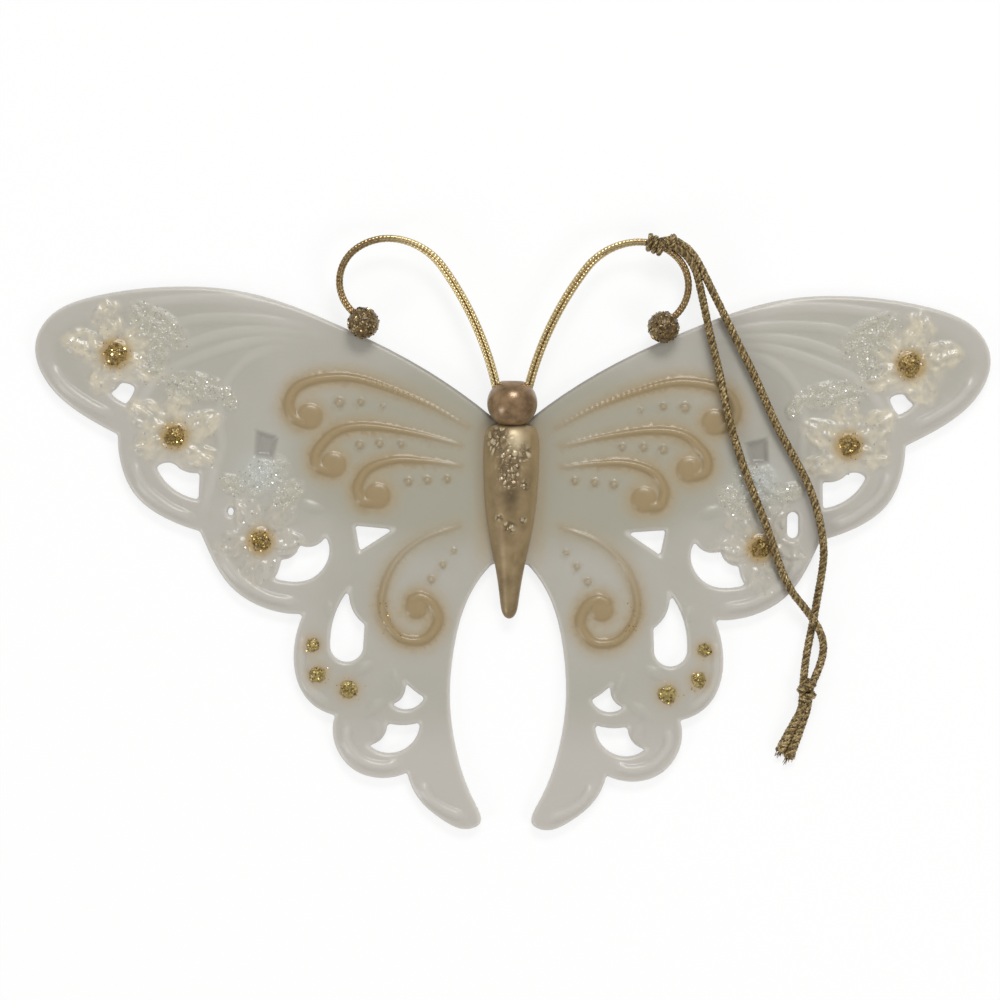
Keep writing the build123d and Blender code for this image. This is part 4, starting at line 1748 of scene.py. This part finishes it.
@dataclass
class Antenna:
    """A twisted wire with a curl and a glitter ball. Sizes are in millimetres and degrees."""

    side: Side
    foot: Place = (2.4, 17.575, 4.4)
    heading: float = 78.0
    arcs: tuple[Point, ...] = ((54.3, 24.7), (11.5, 46.0), (9.3, 41.4), (6.8, 101.0))
    arc_step: float = 0.6
    least_stops: int = 6
    lead: float = 0.3
    socket: float = 2.0
    wire: float = 1.5
    strands: Twist = Twist(plies=2, swell=0.07, swell_step=0.62)
    step: float = 0.12
    turn_span: Point = (15.0, 34.0)
    last_turn: float = 60.0
    tone_out: Point = (15.0, 27.0)
    tones: Point = (0.1, 0.75)
    ball: float = 5.3
    ball_detail: int = 5
    ball_lumps: tuple[Point, ...] = ((0.45, 1.0), (0.2, 0.5))
    ball_rough: float = 0.07
    ball_sink: float = 0.06
    flakes: int = 230
    flake_sizes: Point = (0.25, 0.55)
    flake_tilt: float = 24.0
    seed: int = 31

    def centre_line(self) -> tuple[np.ndarray, np.ndarray]:
        """Bend the right wire's centre line.

        Returns:
            Its points as rows, and the way that its end heads.
        """
        place = np.array(self.foot)
        heading = self.heading
        rows = [place]
        for radius, turn in self.arcs:
            start = math.radians(heading)
            hub = place + radius * np.array((math.sin(start), -math.cos(start), 0))
            stops = max(self.least_stops, int(radius * math.radians(turn) / self.arc_step))
            for share in np.linspace(0, 1, stops)[1:]:
                angle = start - math.radians(turn) * share
                rows.append(hub + radius * np.array((-math.sin(angle), math.cos(angle), 0)))
            place = rows[-1]
            heading -= turn
        way = np.array((math.cos(math.radians(heading)), math.sin(math.radians(heading)), 0))
        rows.append(place + way * (self.lead + self.socket))
        return np.array(rows), way

    def mirrored(self, rows: np.ndarray) -> np.ndarray:
        """Put points of the right antenna on this side, in metres."""
        return rows * (self.side.value, 1, 1) * MM

    def build(self) -> tuple[Piece, Piece]:
        """Lay the wire's two strands together and make its ball.

        Returns:
            The wire and the ball.
        """
        rows, way = self.centre_line()
        line = respaced(self.mirrored(rows), self.step * MM)
        turns = self.side.value * math.radians(self.last_turn) * ramp(along(line) / MM, *self.turn_span)
        mesh = joined(self.strands.tubes(line, np.full(len(line), self.wire / 2 * MM), turns), "wire")
        wire = add_piece(f"twisted_wire_{self.side.label()}", mesh)
        out = coordinates(mesh)[:, 0] * self.side.value / MM
        paint(mesh, Mask.TONE, blend(out, self.tone_out, self.tones))
        centre = self.mirrored(rows[-1] + way * (self.ball / 2 - self.socket))
        shape = bmesh.new()
        bmesh.ops.create_icosphere(shape, subdivisions=self.ball_detail, radius=self.ball / 2 * MM)
        for vertex in shape.verts:
            rough = sum(share * noise.noise(vertex.co / (size * MM)) for size, share in self.ball_lumps)
            vertex.co += vertex.co.normalized() * (self.ball_rough * MM * rough - self.ball_sink * MM)
        bmesh.ops.translate(shape, verts=shape.verts, vec=Vector(centre))
        return wire, add_piece(f"glitter_ball_{self.side.label()}", to_mesh(shape, "ball"))

    def dress(self, wire: Piece, ball: Piece, finishes: GoldFinishes) -> None:
        """Finish the wire and cover the ball in flakes.

        Args:
            wire: the twisted wire.
            ball: the ball on its end.
            finishes: the shared gold finishes.
        """
        name = self.side.label()
        seat(wire, finishes.wire, Rider.ORNAMENT, [f"antenna_wire_{name}"])
        seat(ball, finishes.ball_glue, Rider.ORNAMENT, [f"antenna_ball_{name}"])
        flakes = Glitter(self.flakes, *self.flake_sizes, self.flake_tilt, self.seed + self.side.value)
        cover = flakes.scatter(f"ball_flakes_{name}", ball.data, np.ones(len(ball.data.vertices)))
        seat(cover, finishes.ball_fleck, Rider.ORNAMENT)


# Glitter drops


@dataclass(frozen=True)
class DropKind:
    """What the drops of one kind share. Sizes are in millimetres."""

    name: str
    spots: tuple[tuple[Point, float], ...]
    height: float
    level: float
    flakes: int
    seed: int
    edge_share: float = 0.8
    pale: bool = False


DROP_KINDS = (
    DropKind("flower_centre", FLOWER_DROPS, height=0.9, level=2.7, flakes=95, seed=100),
    DropKind("hindwing_dot", HINDWING_DROPS, height=0.6, level=2.2, flakes=30, seed=200, edge_share=1.0,
             pale=True),
)


@dataclass
class Drop:
    """A domed drop of glitter glue with an uneven edge. Sizes are in millimetres."""

    kind: DropKind
    side: Side
    count: int
    detail: int = 4
    lumps: tuple[Point, ...] = ((1.7, 1.0), (4.1, 0.5))
    unevenness: float = 0.22
    crown: Point = (0.9, 0.25)
    sink: float = 0.05
    edge_span: Point = (0.1, 0.65)
    edge: float = 0.9
    flake_sizes: Point = (0.2, 0.46)
    flake_scale: Point = (0.6, 0.2)
    flake_tilt: float = 24.0
    seed_step: int = 10

    @property
    def node(self) -> str:
        """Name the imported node."""
        return f"{self.kind.name}_{self.side.label()}_{self.count}"

    @property
    def spot(self) -> tuple[Point, float]:
        """Find the drop's place on the right wing, and its radius."""
        return self.kind.spots[self.count - 1]

    @property
    def seed(self) -> int:
        """Give the drop its own seed."""
        return self.kind.seed + self.seed_step * self.count + self.side.value

    def build(self) -> Piece:
        """Raise a lumpy dome.

        Returns:
            The drop.
        """
        kind = self.kind
        (out, up), radius = self.spot
        shape = bmesh.new()
        bmesh.ops.create_icosphere(shape, subdivisions=self.detail, radius=1.0)
        bmesh.ops.bisect_plane(shape, geom=shape.verts[:] + shape.edges[:] + shape.faces[:],
                               plane_co=(0, 0, 0), plane_no=(0, 0, 1), clear_inner=True)
        rim = [edge for edge in shape.edges if edge.is_boundary]
        bmesh.ops.holes_fill(shape, edges=rim)
        for vertex in shape.verts:
            below = Vector((vertex.co.x, vertex.co.y, self.seed))
            lump = sum(share * noise.noise(below * scale) for scale, share in self.lumps)
            wide = kind.edge_share + self.unevenness * lump
            tall = self.crown[0] + self.crown[1] * lump
            vertex.co = Vector((vertex.co.x * wide, vertex.co.y * wide, vertex.co.z * tall))
        bmesh.ops.scale(shape, verts=shape.verts, vec=(radius * MM, radius * MM, kind.height * MM))
        place = Vector((self.side.value * out, up, kind.level - self.sink)) * MM
        bmesh.ops.translate(shape, verts=shape.verts, vec=place)
        bmesh.ops.recalc_face_normals(shape, faces=shape.faces)
        mesh = to_mesh(shape, self.node)
        rise = (coordinates(mesh)[:, 2] / MM - kind.level) / kind.height
        paint(mesh, Mask.EDGE, self.edge * (1 - ramp(rise, *self.edge_span)))
        return add_piece(f"glitter_{self.node}", mesh)

    def dress(self, piece: Piece, finishes: GoldFinishes) -> None:
        """Finish the drop and lay flakes on it.

        Args:
            piece: the drop.
            finishes: the shared gold finishes.
        """
        kind = self.kind
        glue = finishes.dot_glue if kind.pale else finishes.drop_glue
        seat(piece, glue, Rider.ORNAMENT, [self.node])
        weight = (coordinates(piece.data)[:, 2] > (kind.level + self.sink) * MM).astype(float)
        _, radius = self.spot
        scale = min(1.0, self.flake_scale[0] + self.flake_scale[1] * radius)
        small, large = (size * scale for size in self.flake_sizes)
        flakes = Glitter(kind.flakes, small, large, self.flake_tilt, self.seed)
        cover = flakes.scatter(f"flakes_{self.node}", piece.data, weight)
        seat(cover, finishes.drop_fleck, Rider.ORNAMENT)


def all_drops() -> list[Drop]:
    """List every glitter drop on both wings."""
    kinds = [(side, kind) for side in Side for kind in DROP_KINDS]
    return [Drop(kind, side, count + 1) for side, kind in kinds for count in range(len(kind.spots))]


# Hanging cord


WIRE_LEVEL = 4.4
OVER_WING = 3.65
ON_TABLE = 0.7
CROSSING = 2.35
IN_KNOT = 1.65
INNER_ROUTE = (
    (26.79, 42.58, WIRE_LEVEL + 0.9), (27.9, 41.9, WIRE_LEVEL + 0.9), (29.2, 40.6, WIRE_LEVEL + 0.6),
    (30.4, 38.6, WIRE_LEVEL + 0.2), (31.1, 35.8, WIRE_LEVEL - 0.1), (31.9, 32.4, WIRE_LEVEL - 0.3),
    (32.9, 27.9, OVER_WING), (34.6, 21.6, OVER_WING), (36, 14.8, OVER_WING), (38.1, 7.9, OVER_WING),
    (40.7, 1.2, OVER_WING), (43.3, -5, OVER_WING + 0.3), (45, -10.4, OVER_WING), (47, -14.6, OVER_WING),
    (49.5, -17.4, CROSSING + 0.3), (52, -20.8, CROSSING - 0.1), (53, -24.1, ON_TABLE + 0.2),
    (52, -27.9, ON_TABLE + 0.1), (50.5, -31, IN_KNOT),
)
OUTER_ROUTE = (
    (27.14, 43.46, WIRE_LEVEL + 0.5), (28.5, 42.75, WIRE_LEVEL + 0.5), (29.9, 41.3, WIRE_LEVEL + 0.3),
    (31.3, 39, WIRE_LEVEL), (33, 35.6, WIRE_LEVEL - 0.2), (35.4, 31, OVER_WING + 0.2),
    (37.6, 26.6, OVER_WING), (40, 22.2, OVER_WING), (42.1, 17.6, OVER_WING), (44.4, 12.6, OVER_WING),
    (47.4, 7.5, OVER_WING), (49.9, 2.9, OVER_WING), (51.6, -2.2, OVER_WING), (52.5, -7.4, OVER_WING),
    (52.3, -11.4, ON_TABLE + 0.9), (51.7, -15.3, ON_TABLE + 0.1), (51.1, -19.2, ON_TABLE),
    (50.3, -23.2, ON_TABLE), (49.7, -27, ON_TABLE + 0.1), (49.4, -30.7, IN_KNOT),
)
TAIL_ROUTES = {
    Side.LEFT: ((49.4, -30.3, IN_KNOT), (49.6, -33.6, IN_KNOT + 0.2), (48.3, -36.4, ON_TABLE + 0.5),
                (47, -38.9, ON_TABLE + 0.1), (45.8, -41.4, ON_TABLE)),
    Side.RIGHT: ((50.6, -30.4, IN_KNOT), (50.3, -34, ON_TABLE + 0.2), (49.2, -37, ON_TABLE),
                 (48.3, -39.6, ON_TABLE), (47.2, -42.4, ON_TABLE)),
}
FRAY_SEEDS = {Side.LEFT: 61, Side.RIGHT: 62}

# The leads of the hitch are given as distance along the wire, outward and up
OUTER_LEAD = ((-0.2, 0.8, 1.0), (0.6, 1.4, 0.9), (1.4, 1.75, 0.65), (2.3, 1.85, 0.5), (2.6, 1.84, 0.5))
INNER_LEAD = ((-0.2, 0.6, 1.1), (0.6, 0.9, 1.2), (1.4, 0.95, 1.0), (2.3, 0.9, 0.9), (2.6, 0.86, 0.9))


@dataclass
class HangingLoop:
    """The cord loop hitched on the right antenna. Sizes are in millimetres."""

    cord: float = 1.4
    lay: float = 2.6
    step: float = 0.14
    plies: Twist = Twist(plies=4, swell=0.06, swell_step=0.5)
    route_steps: int = 16

    # Hitch
    hitch_middle: Place = (24.316, 42.593, WIRE_LEVEL)
    hitch_along: Point = (0.92926, -0.36942)
    wrap_radius: float = 1.15
    wraps: float = 3.2
    wrap_points: int = 50
    wrap_start: float = -2.2
    wrap_pitch: float = 0.95
    wrap_widths: Point = (0.66, 0.66)
    bight_middle: Place = (1.35, 1.35, 0.6)
    bight_lean: float = 0.3
    bight_reach: float = 1.05
    bight_points: int = 60
    bight_widths: Point = (0.75, 0.75)

    # Knot and tails
    knot_middle: Place = (50.0, -31.1, IN_KNOT)
    knot_radius: float = 0.92
    knot_length: float = 1.8
    knot_turns: Point = (-0.3, 1.45)
    knot_points: int = 110
    knot_swing: float = 0.12
    knot_rise: float = 0.55
    tail_widths: Point = (1.0, 1.4)
    tail_end: int = 4
    fibres: int = 22
    fibre_points: int = 6
    fibre_radii: Point = (0.09, 0.04)
    fibre_spread: float = 0.3
    fibre_back: float = 0.6
    fibre_splay: float = 0.22
    fibre_lengths: Point = (0.7, 1.7)
    fibre_bend: float = 0.12
    fibre_level: float = 0.1
    fibre_tone: float = 0.5
    start_flatness: Place = (1, 1, 0.6)
    splay_flatness: Place = (1, 1, 0.3)

    def route(self, points: Sequence[Place]) -> np.ndarray:
        """Read the smooth line of a route.

        Args:
            points: the route's points, in millimetres.

        Returns:
            The line's points as rows, in metres.
        """
        curve = bpy.data.curves.new("route", "CURVE")
        curve.dimensions = "3D"
        curve.resolution_u = self.route_steps
        spline = curve.splines.new("NURBS")
        spline.points.add(len(points) - 1)
        for control, place in zip(spline.points, points):
            control.co = (*(Vector(place) * MM), 1)
        spline.order_u = 3
        spline.use_endpoint_u = True
        mesh = curve_mesh(curve)
        line = coordinates(mesh)
        bpy.data.meshes.remove(mesh)
        return line

    def yarn(self, line: np.ndarray, widths: Point = (1.0, 1.0)) -> list[Mesh]:
        """Twist yarn of two tones along a line.

        Args:
            line: the points that it follows, in metres.
            widths: its width at both ends, as shares of the cord's.

        Returns:
            The plies' tubes.
        """
        even = respaced(line, self.step * MM)
        turns = along(even) / (self.lay * MM) * FULL_TURN
        tubes = self.plies.tubes(even, self.cord / 2 * MM * np.linspace(*widths, len(even)), turns)
        for count, tube in enumerate(tubes):
            paint(tube, Mask.TONE, np.full(len(tube.vertices), count % 2))
        return tubes

    def on_wire(self, rows: np.ndarray) -> np.ndarray:
        """Put rows of distance along the wire, outward and up in place.

        Args:
            rows: the distances from the hitch's middle.

        Returns:
            The places as rows, in metres.
        """
        way = np.array((*self.hitch_along, 0))
        out = np.array((-self.hitch_along[1], self.hitch_along[0], 0))
        return (np.array(self.hitch_middle) + rows @ np.array((way, out, (0, 0, 1)))) * MM

    def hitch(self) -> Piece:
        """Tie the lark's-head hitch: tight wraps round the wire, a bight, and the two strands through it.

        Returns:
            The hitch.
        """
        turns = np.linspace(0, self.wraps, int(self.wrap_points * self.wraps))
        angle = turns * FULL_TURN
        wraps = np.column_stack([self.wrap_start + turns * self.wrap_pitch,
                                 self.wrap_radius * np.cos(angle), self.wrap_radius * np.sin(angle)])
        angle = np.linspace(0, FULL_TURN, self.bight_points)
        bight = np.column_stack([self.bight_lean * np.sin(angle), self.bight_reach * np.cos(angle),
                                 self.bight_reach * np.sin(angle)]) + self.bight_middle
        tubes = self.yarn(self.on_wire(wraps), self.wrap_widths)
        tubes += self.yarn(self.on_wire(bight), self.bight_widths)
        for lead in (OUTER_LEAD, INNER_LEAD):
            tubes += self.yarn(self.on_wire(smooth_line(lead)))
        return add_piece("lark_hitch", joined(tubes, "lark_hitch"))

    def knot(self) -> Piece:
        """Turn an overhand wrap round both strands.

        Returns:
            The knot.
        """
        turns = np.linspace(*self.knot_turns, self.knot_points)[:, None]
        angle = turns * FULL_TURN
        swing = self.knot_radius * (1 + self.knot_swing * np.cos(2 * angle))
        line = np.hstack([swing * np.cos(angle), self.knot_length * (self.knot_rise - turns),
                          self.knot_radius * np.sin(angle)])
        tubes = self.yarn((np.array(self.knot_middle) + line) * MM)
        return add_piece("overhand_knot", joined(tubes, "overhand_knot"))

    def frayed(self, line: np.ndarray, seed: int) -> list[Mesh]:
        """Fray the end of a tail into thin fibres.

        Args:
            line: the tail's line, in metres.
            seed: the seed of the fibres' spread.

        Returns:
            The fibres' tubes.
        """
        draw = np.random.default_rng(seed)
        end = line[-1]
        way = (end - line[-self.tail_end]) / np.linalg.norm(end - line[-self.tail_end])
        shares = np.linspace(0, 1, self.fibre_points)[:, None]
        radii = np.linspace(*self.fibre_radii, self.fibre_points) * MM
        tubes = []
        for _ in range(self.fibres):
            spread = draw.normal(0, self.fibre_spread * MM, 3) * self.start_flatness
            start = end + spread - way * self.fibre_back * MM
            splay = way + draw.normal(0, self.fibre_splay, 3) * self.splay_flatness
            reach = draw.uniform(*self.fibre_lengths) * MM
            bend = draw.normal(0, self.fibre_bend * MM, 3) * self.splay_flatness
            fibre = start + splay * reach * shares + bend * shares ** 2
            fibre[:, 2] = np.maximum(fibre[:, 2], self.fibre_level * MM)
            tube = tube_mesh(fibre, radii, 0)
            paint(tube, Mask.TONE, np.full(len(tube.vertices), self.fibre_tone))
            tubes.append(tube)
        return tubes

    def tail(self, side: Side) -> Piece:
        """Make one cut tail, which spreads towards its frayed end and lies on the table.

        Args:
            side: which of the two tails it is.

        Returns:
            The tail.
        """
        name = f"cut_tail_{side.label()}"
        line = self.route(TAIL_ROUTES[side])
        line[:, 2] += (np.linspace(*self.tail_widths, len(line)) - 1) * self.cord / 2 * MM
        fibres = self.frayed(line, FRAY_SEEDS[side])
        return add_piece(name, joined([*self.yarn(line, self.tail_widths), *fibres], name))

    def build(self) -> None:
        """Make every piece of the cord, both strands too."""
        finish = MetallicYarn().make()
        hitch = seat(self.hitch(), finish, Rider.LOOP, ["cord_hitch"])
        ends = [seat(self.knot(), finish, Rider.LOOP, ["cord_knot"])]
        for side in Side:
            node = f"cord_tail_{side.label()}"
            ends.append(seat(self.tail(side), finish, Rider.LOOP, [node]))
        for name, points, pieces in (("inner", INNER_ROUTE, [hitch]), ("outer", OUTER_ROUTE, ends)):
            line = self.route(points)
            strand = add_piece(f"loop_strand_{name}", joined(self.yarn(line), f"loop_strand_{name}"))
            seat(strand, finish, Rider.LOOP, [f"cord_strand_{name}"])


# Studio


@dataclass(frozen=True)
class Lamp:
    """A soft lamp that faces the ornament: its place and size in metres, and its power in watts."""

    name: str
    place: Place
    size: Point
    power: float
    mirrored: bool = True

    def build(self) -> None:
        """Hang the lamp."""
        data = bpy.data.lights.new(self.name, "AREA")
        data.shape = "RECTANGLE"
        data.size, data.size_y = self.size
        data.energy = self.power
        lamp = bpy.data.objects.new(self.name, data)
        lamp.location = self.place
        lamp.rotation_euler = Vector(self.place).to_track_quat("Z", "Y").to_euler()
        lamp.visible_glossy = self.mirrored
        bpy.context.scene.collection.objects.link(lamp)


@dataclass
class Studio:
    """Plain pale floor, soft light and the camera, in metres. The sensor is in millimetres."""

    frame_width: float = 167.36 * MM
    centre: Point = (-1.807 * MM, -0.026 * MM)
    roll: float = math.radians(0.834)
    distance: float = 0.7
    sensor: float = 36.0
    nearest: float = 0.01
    focus_level: float = 2.2 * MM
    floor_size: float = 6.0
    floor_level: float = -0.15 * MM
    floor_tone: tuple[float, ...] = (0.9, 0.9, 0.9, 1)
    floor_roughness: float = 0.9
    floor_glow: float = 0.8
    sky: tuple[float, ...] = (1.0, 0.985, 0.96, 1)
    sky_strength: float = 0.5
    lamps: tuple[Lamp, ...] = (
        Lamp("key", (0.1, 0.75, 0.85), (0.5, 0.3), 6.0),
        Lamp("fill", (0.7, -0.4, 0.75), (0.4, 0.4), 3.0, mirrored=False),
        Lamp("rim", (-0.7, -0.5, 0.5), (0.25, 0.5), 2.0),
    )

    def camera(self) -> None:
        """Hang the camera straight over the ornament."""
        data = bpy.data.cameras.new("camera")
        data.sensor_width = self.sensor
        data.lens = self.sensor * (self.distance - self.focus_level) / self.frame_width
        data.clip_start = self.nearest
        camera = bpy.data.objects.new("camera", data)
        camera.location = (*self.centre, self.distance)
        camera.rotation_euler = (0, 0, self.roll)
        bpy.context.scene.collection.objects.link(camera)
        bpy.context.scene.camera = camera

    def floor(self) -> None:
        """Lay a white floor that shows as white and keeps the shadow."""
        shape = bmesh.new()
        bmesh.ops.create_grid(shape, x_segments=2, y_segments=2, size=self.floor_size / 2)
        bmesh.ops.translate(shape, verts=shape.verts, vec=(0, 0, self.floor_level))
        floor = add_piece("floor", to_mesh(shape, "floor"))
        nodes = Nodes("floor")
        nodes.set(Base_Color=self.floor_tone, Roughness=self.floor_roughness, Specular_IOR_Level=0.0)
        path = nodes.add("ShaderNodeLightPath")
        seen = nodes.maths("MAXIMUM", path.outputs["Is Camera Ray"], path.outputs["Is Glossy Ray"])
        seen = nodes.maths("MAXIMUM", seen, path.outputs["Is Transmission Ray"])
        glow = nodes.add("ShaderNodeEmission")
        mixer = nodes.add("ShaderNodeMixShader")
        nodes.feed(mixer.inputs["Fac"], nodes.maths("MULTIPLY", seen, self.floor_glow))
        nodes.feed(mixer.inputs[1], nodes.shader.outputs["BSDF"])
        nodes.feed(mixer.inputs[2], glow.outputs["Emission"])
        nodes.feed(nodes.tree.nodes["Material Output"].inputs["Surface"], mixer.outputs["Shader"])
        floor.data.materials.append(nodes.material)

    def build(self) -> None:
        """Set up the light, the floor and the camera."""
        world = bpy.data.worlds.new("studio")
        world.use_nodes = True
        background = world.node_tree.nodes["Background"]
        background.inputs["Color"].default_value = self.sky
        background.inputs["Strength"].default_value = self.sky_strength
        bpy.context.scene.world = world
        bpy.context.scene.view_settings.view_transform = "Standard"
        for lamp in self.lamps:
            lamp.build()
        self.camera()
        self.floor()


def main() -> None:
    """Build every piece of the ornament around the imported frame."""
    logging.basicConfig(level=logging.INFO, format="%(name)s: %(message)s")
    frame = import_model()
    Studio().build()
    HangingLoop().build()
    finishes = GoldFinishes(
        wire=GoldWire().make(), ball_glue=BALL_GLUE.make(), ball_fleck=BALL_FLECK.make(),
        drop_glue=DROP_GLUE.make(), dot_glue=DOT_GLUE.make(), drop_fleck=DROP_FLECK.make())
    wings = Wings()
    wings.dress(wings.build(frame["nodes"]["wing_plate"]), SILVER_FLECK.make(), DUST_FLECK.make())
    body = Body()
    body.dress(body.build(frame["nodes"]["body"]), CHAMPAGNE_FLECK.make())
    bead = HeadBead()
    bead.dress(bead.build())
    for side in Side:
        antenna = Antenna(side)
        antenna.dress(*antenna.build(), finishes)
    for drop in all_drops():
        drop.dress(drop.build(), finishes)


if __name__ == "__main__":
    main()
